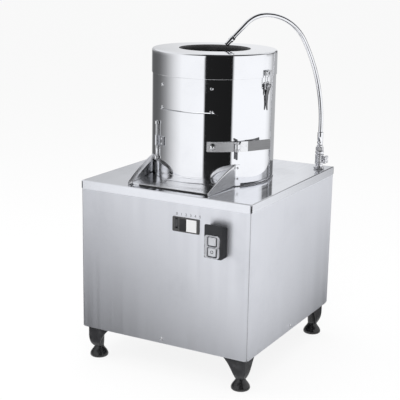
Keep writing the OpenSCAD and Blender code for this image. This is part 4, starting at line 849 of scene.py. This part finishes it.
def drum_pieces():
    """The rolled wall, open at the door, with its rear seam, its bead on the deck, its screws and the cap.

    The cap's profile is a rolled lip, a dome that falls with the power 1.4 of the radius, a roll and a skirt.
    """
    a0, a1, z0, z1 = OPENING
    back = np.linspace(a1, a0 + 360, 203)
    whole = np.concatenate([np.linspace(a0, a1, 39)[:-1], back])
    bands = [grid(polar(span[:, None], DRUM_R, np.linspace(low, high, rows)[None]))
             for low, high, span, rows in ((DECK, z0, whole, 4), (z0, z1, back, 12), (z1, 844.0, whole, 10))]
    thicken(piece("drum_wall", bands, "mirror_steel", "root", "drum_shell", keep=True), 2.0)

    z = np.linspace(DECK + 0.5, CAP_LOW - 1, 80)
    seam = polar(90, DRUM_R - 0.1, z)
    piece("drum_seam", sweep(seam, arc(0, 0, 1.0, 0, 180)*(2.2, -0.55), X), "polished_sheet", "root")
    bead = revolve(arc(DRUM_R + 0.3, DECK + 0.4, 0.8, 0, 330, 12), 240, loop=True)
    piece("drum_bead", place(bead, (*AXIS, 0)), "joint_steel", "root")

    inner, outer = 107, 171
    r = np.linspace(inner, outer, 16)
    dome = np.column_stack([r, 890.8 - 0.9*((r - inner)/(outer - inner))**1.4])
    curl = [*arc(97.4, 873.6, 1.6, 330, 180, 7), (MOUTH_R, 876.0), (MOUTH_R, 879.0),
            *arc(105, 881, 9.8, 180, 90, 15)]
    skirt = [(CAP_R, z) for z in (878, 862, 850, 835, 825.5)]
    cap = np.concatenate([curl, dome, arc(171.4, 884.4, 5.5, 87, 0, 15), skirt,
                          arc(176.1, 823.4, 0.8, 20, -60, 6)])
    thicken(piece("cap", place(revolve(cap, 320), (*AXIS, 0)), "mirror_steel", "root", "top_cap", keep=True),
            1.4)
    trim = [(95.0, 874.6), *arc(105, 881, 10, 180, 112, 14), *arc(105, 881, 9.25, 112, 180, 14),
            (95.75, 874.6)]
    piece("hatch_trim", place(revolve(trim, 240, loop=True), (*AXIS, 0)), "black_rubber", "root")
    ring = revolve([(172.0, 846.0), (175.5, 846.0), (175.5, 848.0), (172.0, 848.0)], 160, loop=True)
    piece("cap_rest", place(ring, (*AXIS, 0)), "polished_sheet", "root")

    heads = [facing_out(screw(9, 3.2), a, DRUM_R + 0.05, DECK + z)
             for a in (-116, -64) for z in (270.0, 207.5)]
    heads += [facing_out(screw(6, 2.4), a, DRUM_R + 1.35, DECK + z)
              for a in (-39, -141) for z in (52.0, 22.0)]
    piece("drum_screw_heads", heads, "screw_steel", "root", "drum_screws", angle=28)


def door_pieces():
    """The curved door, its hinge leaf and rod, the strap with two barrels, fasteners and the latch pin."""
    skin = curved_plate(*DOOR[:2], DOOR_R, DOOR_R + 1.2, *DOOR[2:], corner=4)
    piece("door_skin", skin, "mirror_steel", "door", "door_panel")

    low, high = STRAP_Z
    face = STRAP_R + STRAP_T
    tall = high - low
    leaf = [curved_plate(-121.0, -111.5, STRAP_R, face, low, high, corner=2.5),
            place(tube(5.5, 3.55, tall), polar(ROD_ANGLE, ROD_R, low))]
    piece("hinge_leaf", leaf, "polished_sheet", "door", "door_hinge_leaf")

    middle = (low + high)/2
    bar = revolve([(0, 0), (2.2, 0.2), (3.1, 0.9), (3.5, 2.0), (3.5, 105), (3.1, 106.1), (2.2, 106.8),
                   (0, 107)], 32)
    parts = [place(bar, polar(ROD_ANGLE, ROD_R, middle - 53.5))]
    for s in (-1, 1):
        z = middle + s*49.5 - 4
        parts.append(place(tube(5.5, 3.4, 8), polar(ROD_ANGLE, ROD_R, z)))
        foot = fillet([(-6.4, -4.6), (-1.2, -4.6), (0.4, 0), (-1.2, 4.6), (-6.4, 4.6)],
                      (0.4, 1.5, 2.0, 1.5, 0.4), 4)
        parts.append(at_polar(prism(foot, 0, 8), ROD_ANGLE, ROD_R, z))
        parts.append(curved_plate(ROD_ANGLE - 5.2, ROD_ANGLE - 0.4, DRUM_R + 0.05, DRUM_R + 1.3, z, z + 8,
                                  corner=1.5))
        parts.append(facing_out(screw(4.6, 1.6), ROD_ANGLE - 3.4, DRUM_R + 1.3, z + 4))
    piece("hinge_rod_and_clips", parts, "screw_steel", "root", "hinge_rod", angle=40)

    strap = [curved_plate(-67.5, -43.2, STRAP_R, face, low, high, corner=2.0, edge=0.7)]
    for z in (low, high - tall/4):
        strap += [curved_bar(-43.6, -41.2, STRAP_R, face, z, z + tall/4, 0.5, 0.4),
                  place(tube(6.0, 3.02, tall/4), polar(PIN_ANGLE, PIN_R, z))]
    piece("strap_and_barrels", strap, "strap_steel", "door", "door_strap")

    nut = [revolve([(0, 0), (8.7, 0), (9, 0.3), (9, 1.3), (8.6, 1.6), (0, 1.6)], 48),
           place(hex_nut(13.4, 4.6), (0, 0, 1.5)),
           place(revolve([(5.6, 0), (5.6, 1.0), (5.2, 2.6), (4.2, 4.0), (2.6, 4.9), (0, 5.2)], 36),
                 (0, 0, 5.6))]
    nuts = [facing_out(n, -62.5, face + 0.05, middle) for n in nut]
    nuts += [facing_out(screw(7, 2.2, 0.35), -115, face + 0.05, middle + s*7) for s in (-1, 1)]
    piece("door_nut_and_rivets", nuts, "screw_steel", "door", "door_nuts", angle=28)

    pin = polar(PIN_ANGLE, PIN_R, low - 22)
    hook = dense(fillet([(0, 0), (0, 6.5), (-5.5, 6.5)], 2.2, 6, closed=False), 0.8)
    hook = np.column_stack([0*hook[:, 0], hook[:, 0], hook[:, 1]])
    shank = [(0, 0), (2.2, 0), (3, 0.8), (3, 17.2), (2.5, 17.8), (2.5, 19.2), (3, 19.8), (3, 50.5), (0, 50.5)]
    washer = [(0, 0), (4.3, 0), (4.6, 0.3), (4.6, 1.0), (4.2, 1.3), (0, 1.3)]
    pin_parts = [place(revolve(shank, 32), pin),
                 at_polar(sweep(hook - (0, 0, 1.5), round_section(2.2), X), PIN_ANGLE, PIN_R, high + 0.4),
                 place(revolve(washer, 32), polar(PIN_ANGLE, PIN_R, high + 0.15))]
    piece("latch_pin_bar", pin_parts, "dark_pin", "door", "latch_pin")


def latch_bar():
    """A flat bar on edge, whose path leaves the pin's barrel and bends 12 degrees.

    Its half height grows from the root's by 3 t^2 - 2 t^3, and its far end has round corners.
    """
    low, high = STRAP_Z
    half, root = (high - low)/2, (high - low)/4 - 0.3
    corner = 4.0
    turn = math.radians(12)
    knee = np.array([0.0, 30.0])
    end = knee + 77*np.array([-math.sin(turn), math.cos(turn)])
    path = dense(fillet([(0, 5.0), knee, end], (0, 12, 0), 9, closed=False), 1.0)
    s = np.concatenate([[0], np.cumsum(np.linalg.norm(np.diff(path, axis=0), axis=1))])
    left = np.clip(s[-1] - s, 0, corner)
    rounded = np.sqrt(np.maximum(corner**2 - (corner - left)**2, 0))
    tall = root + (half - root)*eased(s, 2.5, 6.0) - corner + rounded
    points = np.column_stack([path, np.full(len(path), half)])

    def bar(first, last, thick):
        rows = slice(first, last)
        section = box_outline(2, 2, 0.3, 3)
        across, through = np.broadcast_arrays(section[:, 0]*tall[rows, None], section[:, 1]*thick/2)
        return at_polar(sweep(points[rows], np.stack([across, through], axis=-1), UP), PIN_ANGLE, PIN_R, low)

    knuckle_end = int(np.searchsorted(s, 28.0))
    barrel = place(tube(6.0, 3.05, 2*root), polar(PIN_ANGLE, PIN_R, low + half - root))
    knuckle = [barrel, bar(0, knuckle_end, 2.5)]
    piece("latch_knuckle", knuckle, "screw_steel", "latch_arm", "latch_handle")
    piece("latch_grip", bar(knuckle_end - 1, len(s), 2.9), "grip_steel", "latch_arm")


def chute_pieces():
    """Two wings whose upper edge is a fourth-power curve with a leaning fold, the floor, its painted lip
    shadow and flanges.

    The floor starts on the drum's curve, slopes down and rolls over at its front edge.
    """
    out = np.linspace(114.4, 256.0, 60)
    knots = np.array([(114, 62), (130, 59), (154, 52), (194, 38), (226, 24), (246, 13.5), (256, 8)], float)
    top = np.polyval(np.polyfit(knots[:, 0], knots[:, 1], 4), out)
    t = np.linspace(0, 1, 12)[None]
    lean = math.radians(32)
    turned = np.array([[math.cos(lean), math.sin(lean)], [-math.sin(lean), math.cos(lean)]])
    fold = (box_outline(2.0, 13.0, 0.9, 4) - (0, 6)) @ turned
    sheet = 1.5
    for side, s, look, solid in (("left", -1, "wing_satin", "discharge_chute"),
                                 ("right", 1, "wing_steel", "")):
        x = s*(133 - 7*(out - 113)/143)
        wall = np.broadcast_arrays(AXIS[0] + x[:, None], AXIS[1] - out[:, None],
                                   DECK + 0.5 + t*(top[:, None] - 0.5))
        wall = np.stack(wall, axis=-1)[:, ::-s]
        thicken(piece(f"chute_wing_{side}", grid(wall), look, "root", solid, keep=True),
                sheet)
        edge = np.stack([AXIS[0] + x - s*sheet/2, AXIS[1] - out, DECK + top], axis=-1)
        nose = np.array([[edge[-1, 0], edge[-1, 1] + 0.4, DECK + 6],
                         [edge[-1, 0], edge[-1, 1] + 1.0, DECK + 1.5]])
        piece(f"chute_hem_{side}", sweep(np.concatenate([edge, nose]), fold*(-s, 1), X), "hem_steel", "root")

    c = np.linspace(-1, 1, 61)[None]
    start = np.sqrt((DRUM_R + 0.25)**2 - (c*130.8)**2)
    run = start + np.linspace(0, 1, 24)[:, None]*(242.3 - start)
    height = DECK + 10.4 - (run - 100)*7.0/142.4
    roll = arc(242.3, DECK + 1.75, 1.7, 90, 0, 6)
    run = np.concatenate([run, roll[1:, :1] + 0*c, np.full((1, 61), 244.0)])
    height = np.concatenate([height, roll[1:, 1:] + 0*c, np.full((1, 61), DECK + 0.3)])
    wide = 131.0 - 7*(run - 113)/143
    pan = np.stack([AXIS[0] + c*wide, AXIS[1] - run, height], axis=-1)
    thicken(piece("chute_floor", grid(pan), "pan_steel", "root", keep=True), 1.0)
    # A black rubber strip along the floor's front edge paints the shadow under its lip.
    lip_shadow = place(prism(box_outline(222, 2.8, 0.8), -0.6, 0.6), (AXIS[0] + 14, AXIS[1] - 244.9, DECK + 1.8),
                 (0, -1, 0), X)
    piece("chute_lip_shadow", lip_shadow, "black_rubber", "root")
    flanges = [curved_plate(a, a + 5, DRUM_R + 0.1, DRUM_R + 1.3, DECK + 2, DECK + 61, corner=2)
               for a in (-41.0, -144.0)]
    piece("chute_flanges", flanges, "mirror_steel", "root")


def clamp_pieces():
    """The over-centre clamps: brackets on the drum, hooks on the cap, levers and wire bails.

    A lever's face is crowned by 1 - c^4 across it. It tapers, leans in to the drum and flicks out at its tip.
    """
    brackets, hooks = [], []
    ear = [(-6.6, -5.4), (0.5, -4.4), (4.4, -3.2), (4.4, 3.2), (0.5, 4.4), (-6.6, 5.4)]
    ear = prism(fillet(ear, (0.5, 3, 2.6, 2.6, 3, 0.5), 5), 0, 2)
    pin = [(0, 0), (2.6, 0), (3.1, 0.5), (3.1, 1.0), (2, 1.2), (2, 18.8), (3.1, 19), (3.1, 19.5), (2.6, 20),
           (0, 20)]
    pin = revolve(pin, 24)
    bend = [(-4.0, -12.0), (-4.0, -3.1), (2.7, -3.1), (2.7, 0.3)]
    bend = dense(fillet(bend, 1.6, 5, closed=False), 0.5)
    hook = sweep(np.column_stack([bend[:, 0], 0*bend[:, 0], bend[:, 1]]), box_outline(17, 1.7, 0.5, 3), Y)
    tip = 68
    down = np.concatenate([np.linspace(-3.5, 58, 42),
                           58 + (tip - 58)*np.sin(np.linspace(0, np.pi/2, 12))[1:]])
    wide = steps(down, [(-4, 5.6), (0, 6.5), (12, 7.6), (22, 8.0), (36, 6.6), (50, 4.6), (58, 4.0), (63, 3.8),
                        (66, 2.9), (67.4, 1.7), (tip, 0.05)])
    c = np.linspace(-1, 1, 15)[None]
    flick, hug = 1.6*np.clip((down - 44)/(tip - 44), 0, 1)**2, 4.6*eased(down, 4, 30)
    crown = 0.2 + 1.7*(1 - c**4) + (flick - hug)[:, None]
    handle = grid(np.stack([crown, wide[:, None]*c, -down[:, None] + 0*c], axis=-1))
    cheek = [(-4.0, -2.5), (1.0, -3.6), (1.4, 12), (-0.5, 12.5), (-4.2, 10), (-4.4, 6)]
    cheek = prism(fillet(cheek, (2.5, 1, 0.6, 0.8, 2, 1), 4), 0, 1.3)
    wire = [(2, 0), (14, 0), (14, 50), (-14, 50), (-14, 0), (-2, 0)]
    wire = dense(fillet(wire, (0, 2.6, 3, 3, 2.6, 0), 6, closed=False), 1.0)
    wire = sweep(np.column_stack([0*wire[:, 0] - 1.5, wire[:, 0], wire[:, 1] - 8]), round_section(1.3, 12), X)
    for side, a in (("right", CLAMP_ANGLE), ("left", CLAMP_ANGLE + 180)):
        pivot = (a, CLAMP_R, CLAMP_TOP)
        inside, outside = DRUM_R + 0.1, DRUM_R + 1.9
        brackets.append(curved_plate(a - 4.2, a + 4.2, inside, outside, CLAMP_TOP - 26, CLAMP_TOP + 10))
        brackets += [sideways(ear, y, *pivot) for y in (-8.8, 6.8)]
        brackets.append(sideways(pin, -10, *pivot))
        brackets += [facing_out(screw(5, 1.8), a, outside, CLAMP_TOP + z) for z in (-21, 6)]
        hooks.append(curved_plate(a - 4.2, a + 4.2, CAP_R + 0.12, CAP_R + 1.8, HOOK_Z - 15, HOOK_Z - 1.7))
        hooks.append(at_polar(hook, a, CLAMP_R, HOOK_Z))
        hooks += [facing_out(screw(5, 1.8), a, CAP_R + 1.8, HOOK_Z - 10, y) for y in (-8, 8)]

        lever = piece(f"clamp_handle_{side}", at_polar(handle, *pivot), "lever_steel", f"lever_{side}",
                      f"clamp_lever_{side}", keep=True)
        thicken(lever, 1.3)
        inner = [sideways(cheek, y, *pivot) for y in (-6.5, 5.2)]
        inner.append(sideways(tube(3.6, 2.05, 12.8), -6.4, *pivot))
        piece(f"clamp_cheeks_{side}", inner, "clamp_steel", f"lever_{side}")
        piece(f"clamp_wire_{side}", at_polar(wire, *pivot), "screw_steel", f"bail_{side}",
              f"clamp_bail_{side}")
    piece("clamp_brackets", brackets, "clamp_steel", "root", "clamp_bases", angle=30)
    piece("clamp_hook_plates", hooks, "clamp_steel", "root", "clamp_hooks", angle=30)


# ---- water ----

def spout_line():
    """The spout's centre line as distance from the valve and height, then its mouth's start and direction.

    It is a straight rise and three arcs that touch each other: m + R (-sin slope, cos slope).
    """
    low, bend = 586, 657
    at = np.array([0.0, bend])
    rows = [np.column_stack([np.zeros(20), np.linspace(low, bend, 20)])]
    for radius, first, last, n in ((527, 90, 61, 90), (135, 61, 0, 64), (84, 0, -45, 34)):
        slope = np.radians(np.linspace(first, last, n))
        mid = at + radius*np.array([np.sin(slope[0]), -np.cos(slope[0])])
        rows.append((mid + radius*np.stack([-np.sin(slope), np.cos(slope)], axis=-1))[1:])
        at = rows[-1][-1]
    return np.concatenate(rows), at, np.array([math.cos(slope[-1]), math.sin(slope[-1])])


def water_pieces():
    """The swivelling spout with its collars, the union nut, the tap with its pipe to the rear, and the knob.

    The knob's radius is 12 + 2 cos 4 (a - 45 degrees), and the pipe turns to the rear in a quarter circle.
    """
    turn = math.atan2(AXIS[1] - VALVE[1], AXIS[0] - VALVE[0]) + math.radians(1.5)
    across = np.array([math.sin(turn), -math.cos(turn), 0])
    out = np.array([[math.cos(turn), math.sin(turn), 0], [0, 0, 1]])
    line, end, way = spout_line()
    foot = np.array([*VALVE, 0.0])
    straight = end + np.linspace(1.5, 60, 20)[:, None]*way
    mouth = way @ out
    inside = SPOUT_R - 0.1
    tip_collar = [(inside, 0), (7.4, 0), (8, 0.7), (8, 5.6), (7.7, 6.1), (7.7, 7.9), (8, 8.4), (8, 13.3),
                  (7.4, 14), (inside, 14)]
    low_collar = [(inside, 602), (7.5, 602), (8.5, 603.2), (8.5, 610), (8.1, 610.6), (8.1, 612), (8.5, 612.6),
                  (8.5, 637.5), (8.0, 639.2), (6.9, 640), (inside, 640)]
    parts = [sweep(np.concatenate([line, straight]) @ out + foot, round_section(SPOUT_R, 28), across),
             place(tube(SPOUT_R, 5.0, 24.5, 0.7), (end + 57.5*way) @ out + foot, mouth),
             place(revolve(tip_collar, 48, loop=True), (end + 52*way) @ out + foot, mouth),
             place(revolve(low_collar, 48, loop=True), foot)]
    piece("spout_tube", parts, "chrome_fittings", "spout", "spout_pipe", angle=40)

    nut = [place(hex_nut(20.8, 11, 6.56), foot + (0, 0, 584)),
           place(revolve([(6.56, 0), (8.6, 0), (9, 0.5), (9, 4.8), (8.2, 6), (6.56, 6)], 48, loop=True),
                 foot + (0, 0, 594))]
    piece("union_nut", nut, "satin_chrome", "root", "spout_nut", angle=30)

    body = [(0, 534), (11.5, 534.6), (11.5, 535.4), (10.5, 537), (10.5, 542), (13, 544.5), (13, 548),
            (12.4, 549), (12.4, 567), (13, 568), (13, 571.5), (10.8, 574), (10.8, 575), (12.5, 576),
            (12.5, 581.5), (11, 583.5), (8, 584), (0, 584)]
    boss = [(0, 0), (8, 0), (8, 13.9), (7.3, 14.8), (6.2, 15), (0, 15)]
    elbow = 16
    drop = np.concatenate([np.column_stack([np.zeros(9), np.linspace(531, 490, 9)]),
                           arc(elbow, INLET_Z + elbow, elbow, 180, 270, 16),
                           np.column_stack([np.linspace(19, 56, 8), np.full(8, INLET_Z)])])
    ridges = [p for z in (9, 17, 25) for p in ((7.3, z - 0.3), (8, z), (7.3, z + 7.2))]
    barbs = [(5, 0), (8, 0), (8, 6), *ridges, (7.0, 34.7), (5, 34.7)]
    valve = [place(hex_nut(27.7, 7), foot + (0, 0, DECK)), place(revolve(body, 64), foot),
             place(revolve(boss, 48), foot + (0, 0, TAP_Z), X),
             sweep(np.column_stack([np.zeros(len(drop)), drop]) + foot, round_section(8, 28), X),
             place(hex_nut(24.2, 6.8, 7.9), foot + (0, 0, 516.5)),
             place(tube(12, 7.9, 4, 0.7), (VALVE[0], REAR + 0.3, INLET_Z), Y),
             place(revolve(barbs, 40, loop=True), (VALVE[0], REAR - 0.7, INLET_Z), Y)]
    piece("tap_body", valve, "satin_chrome", "root", "water_valve", angle=30)

    a = np.linspace(0, 2*np.pi, 120, endpoint=False)
    lobes = 12 + 2*np.cos(4*(a - np.pi/4))
    rows = [(z, lobes*share) for z, share in ((0.0, 0.86), (0.5, 0.95), (1.3, 1), (7.2, 1), (8.2, 0.965),
                                              (8.8, 0.89))]
    rows += [(z, 0*a + r) for z, r in ((8.9, 8.4), (8.3, 7.6), (8.1, 5.2), (8.3, 4.5), (9.2, 4.0), (9.5, 3.2),
                                       (9.6, 0.01))]
    knob = np.array([np.stack([r*np.cos(a), r*np.sin(a), 0*a + z], axis=-1) for z, r in rows])
    tap = [place(grid(knob, wrap_v=True, ends=True), foot + (15.3, 0, TAP_Z), X, Y),
           place(rod(3, 10), foot + (7.3, 0, TAP_Z), X)]
    piece("tap_knob", tap, "satin_chrome", "knob", "valve_knob")


# ---- controls ----

def on_front(part, x, z):
    """Puts a part on the front panel: X to the right, Y up, Z out of the panel."""
    return place(part, (x, FRONT, z), (0, -1, 0), X)


def eight_outline(half, tall, r, rise):
    """Two rounded squares one above the other, their sides drawn in where their corner arcs cross."""
    reach = math.degrees(math.asin(min(1.0, (rise/2 - (tall/2 - r))/r)))
    x, out, near = half - r, rise/2 + tall/2 - r, rise/2 - tall/2 + r
    right = np.concatenate([arc(x, out, r, 90, 0), arc(x, near, r, 0, -reach, 7),
                            arc(x, -near, r, reach, 0, 7)[1:], arc(x, -out, r, 0, -90)])
    return np.concatenate([right, -right])[::-1]


def switch_pieces():
    """The push-button station: a housing with a groove and two wells, the soft cover and two dished buttons.

    The housing's upper half gets lower towards the panel, by a fifth where it meets it.
    """
    depth = [0.05, 5, 5.25, 5.9, 6.15, 25.4, 26.9, 28.2, 29.2, 29.8, 30]
    inset = [0, 0, 0.6, 0.6, 0, 0, 0.2, 0.7, 1.5, 2.4, 3.2]
    box = stack(lambda i: box_outline(54 - 2*i, 93 - 2*i, 5 - 0.7*i, 7), depth, inset)
    box[0][:, 1] *= 1 - 0.20*np.clip((30 - box[0][:, 2])/30, 0, 1)*(box[0][:, 1] > 0)
    housing = piece("switch_box", on_front(box, *SWITCH), "switch_plastic", "root", "switch_housing")
    wells = [prism(box_outline(23.6, 23.6, 1.5) + (-2, y), 14, 33) for name, y in BUTTONS]
    carve(housing, [on_front(well, *SWITCH) for well in wells])
    piece("switch_back", on_front(prism(box_outline(38, 71, 2), -23, 0), *SWITCH), "switch_plastic", "root")

    shape = eight_outline(22, 33, 8, 29)
    cover = piece("switch_boot", on_front(prism(shape + (-1.5, -13), 30.05, 34), *SWITCH), "clear_silicone",
                  "root", "switch_cover")
    windows = [prism(box_outline(30, 27.4, 5, 7) + (-0.2, y), 29, 35) for name, y in BUTTONS]
    carve(cover, [on_front(window, *SWITCH) for window in windows])
    soft = cover.modifiers.new("edges", "BEVEL")
    soft.width = 0.9*MM
    soft.segments = 3
    soft.limit_method = "ANGLE"
    soft.angle_limit = math.radians(50)
    soft.harden_normals = True

    rise = [18, 18.4, 29.7, 30.5, 30.9, 31, 30.7, 30.3, 30.1, 30.05]
    inset = [0.6, 0, 0, 0.35, 1.0, 1.8, 3.2, 5.5, 8.5, 11.2]
    for name, y in BUTTONS:
        cap = stack(lambda i: box_outline(23 - 2*i, 23 - 2*i, max(3 - 0.5*i, 0.1), 6) + (-2, y), rise, inset)
        piece(f"{name}_cap", on_front(cap, *SWITCH), "button_plastic", name, f"{name}_button")
    ring = place(tube(4.5, 3.1, 0.5, 0.15), (-2, BUTTONS[1][1], 29.85))
    piece("stop_ring", on_front(ring, *SWITCH), "switch_plastic", "stop")


def timer_pieces():
    """The timer: a bezel with a slot, a glossy block, a window over the scale, and plain numbers above it."""
    def outline(inset):
        return box_outline(82 - 2*inset, 41 - 2*inset, 3 - 0.6*inset, 6)

    plate = stack(outline, [0.05, 1.9, 2.5, 2.9, 3.0], [0, 0, 0.2, 0.7, 1.3])
    bezel = piece("timer_face", on_front(plate, *TIMER), "bezel_plastic", "root", "timer_bezel")
    window = prism(box_outline(31, 34, 1.2) + (17.5, 0), 1.8, 5)
    block = prism(box_outline(21.3, 34, 0.8) + (-8.35, 0), 2.2, 5.5)
    rocker_at = (-27.5, 3)
    opening = box_outline(7, 29, 0.8) + rocker_at
    carve(bezel, [on_front(window, *TIMER)])
    carve(bezel, [on_front(part, *TIMER) for part in (block, prism(opening, -1, 5.2))])
    case = on_front(prism(box_outline(73, 34, 1.5), -37.5, 0), *TIMER)
    carve(piece("timer_case", case, "bezel_plastic", "root"),
          [on_front(prism(opening, -18, 1), *TIMER)])

    def lens_outline(inset):
        return box_outline(20.6 - 2*inset, 33.6 - 2*inset, 0.8) + (-8.5, 0)

    lens = stack(lens_outline, [2.2, 2.7, 2.9, 2.9], [0, 0, 0.3, 1.0])
    piece("timer_lens", on_front(lens, *TIMER), "black_plastic", "root")
    rim = box_outline(8.4, 30.4, 1.4, 6) + rocker_at
    rim = np.column_stack([rim, np.full(len(rim), 3.0)])
    bead = sweep(rim, box_outline(1.2, 1.3, 0.4, 3), UP, loop=True)
    piece("slot_rim", on_front(bead, *TIMER), "rocker_plastic", "root")

    for k in range(6):
        data = bpy.data.curves.new(f"mark_{k}", "FONT")
        data.body = str(k)
        data.size = 10.5*MM
        data.extrude = 0.05*MM
        data.align_x = "CENTER"
        text = show(f"mark_{k}_curve", data)
        mesh = finished_mesh(text)
        bpy.data.objects.remove(text)
        bpy.data.curves.remove(data)
        points = np.empty(len(mesh.vertices)*3)
        mesh.vertices.foreach_get("co", points)
        faces = [list(p.vertices) for p in mesh.polygons]
        bpy.data.meshes.remove(mesh)
        digit = (points.reshape(-1, 3)/MM + (0, 0, 0.1), faces)
        piece(f"mark_{k}", on_front(digit, 43.5 + 14.1*k, 470.8), "mark_ink", "root",
              keep=True)


# ---- cabinet ----

def cast_leg(name, source, x, y):
    """A copy of a packed leg, merged, remeshed in small cells and smoothed to a casting's round edges.

    Above its foot it is drawn in to a waist: beyond the neck's radius n, r becomes n + (r - n) times a share
    that grows with the height.
    """
    mesh = frame["nodes"][source].data.copy()
    mesh.name = name
    clean(mesh)
    mesh.materials.clear()
    mesh.materials.append(FINISH["cast_leg"])
    o = show(name, mesh)
    cells = o.modifiers.new("cells", "REMESH")
    cells.mode = "VOXEL"
    cells.voxel_size = 1.3*MM
    cells.use_smooth_shade = True
    even = o.modifiers.new("even", "SMOOTH")
    even.factor = 0.5
    even.iterations = 8
    apply_modifiers(o)
    p = np.empty(len(o.data.vertices)*3)
    o.data.vertices.foreach_get("co", p)
    p = p.reshape(-1, 3)
    middle, neck = np.array((x, y))*MM, 13*MM
    out = p[:, :2] - middle
    r = np.maximum(np.linalg.norm(out, axis=1), 1e-9)
    drawn = steps(p[:, 2]/MM, [(33, 0.30), (36, 0.44), (40, 0.62), (46, 0.80), (54, 0.93), (64, 1.0)])
    p[:, :2] = middle + out*(np.where(r > neck, neck + (r - neck)*drawn, r)/r)[:, None]
    o.data.vertices.foreach_set("co", p.ravel())
    o.data.update()
    o.data.shade_smooth()
    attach(o, "root")
    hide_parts(source)


def cabinet_pieces():
    """Cast legs, bell-shaped rubber feet, the panels' screws and joints, and the cable gland.

    The gland's dome nut has 18 ribs: its radius is r + d cos 18 a.
    """
    pad = [(0, 0), (18, 0), (21, 0.25), (24.2, 1.2), (26.1, 3.2), (26.7, 6), (26.3, 9), (25.1, 12.2),
           (23.2, 15.6), (20.8, 19), (18.4, 22.2), (16.2, 25.4), (14.6, 28.4), (13.7, 31.2), (13.3, 32.7),
           (6, 32.7), (6, 78), (5.4, 79), (0, 79)]
    for side, x in (("left", -1), ("right", 1)):
        for end, y in (("front", -1), ("rear", 1)):
            at = (x*FOOT[0], y*FOOT[1])
            cast_leg(f"leg_casting_{end}_{side}", f"leg_{end}_{side}", *at)
            foot = f"foot_{end}_{side}"
            piece(f"bell_{foot}", place(revolve(pad, 72), (*at, 0)), "foot_rubber", foot, foot, angle=45)

    z = 108.5
    places = (((0, FRONT, z), (0, -1, 0)), ((0, REAR, z), Y), ((-SIDE, 0, z), (-1, 0, 0)), ((SIDE, 0, z), X))
    heads = [place(screw(10, 3), at, way) for at, way in places]
    piece("panel_screw_heads", heads, "screw_steel", "root", "panel_screws", angle=28)

    joints, gap_shadows = [], []
    for x in (-1, 1):
        for y in (-1, 1):
            joints.append(place(prism(box_outline(1.5, 0.5, 0.1, 2), 97, 505),
                                (x*(SIDE - 0.9), y*(REAR + 0.1), 0)))
            # Black strips set into the deck's corner notches paint the shadow inside the gaps.
            gap_shadows.append(place(prism(box_outline(2, 2, 0.2, 2), 505.5, 524),
                              (x*(SIDE + 0.2), y*(REAR + 0.2), 0)))
    piece("panel_joints", joints, "joint_steel", "root")
    piece("corner_gap_shadows", gap_shadows, "black_rubber", "root")

    a = np.linspace(0, 2*np.pi, 144, endpoint=False)
    rows = [(8.0, 10.9, 0), (8.6, 11.6, 0), (9.4, 11.6, 0.4), (17.0, 11.6, 0.4), (18.2, 11.3, 0.3),
            (19.8, 10.3, 0), (21.2, 8.6, 0), (22.0, 6.6, 0), (21.8, 5.6, 0), (20.5, 5.1, 0), (8.0, 5.1, 0)]
    rows = [(z, r + d*np.cos(18*a)) for z, r, d in rows]
    dome = np.array([np.stack([r*np.cos(a), r*np.sin(a), 0*a + z], axis=-1) for z, r in rows])
    gland = [place(part, GLAND, Y) for part in (hex_nut(24.2, 8, 5.1), grid(dome, wrap_u=True, wrap_v=True),
                                                place(hex_nut(24.2, 6, 10), (0, 0, -7.5)),
                                                place(tube(10, 5.1, 14), (0, 0, -14)))]
    piece("gland_body", gland, "black_plastic", "root", "cable_gland", angle=30)


drum_pieces()
door_pieces()
latch_bar()
chute_pieces()
clamp_pieces()
water_pieces()
switch_pieces()
timer_pieces()
cabinet_pieces()
studio()
floor()
lights()
camera()
bpy.context.scene.view_settings.view_transform = "Standard"
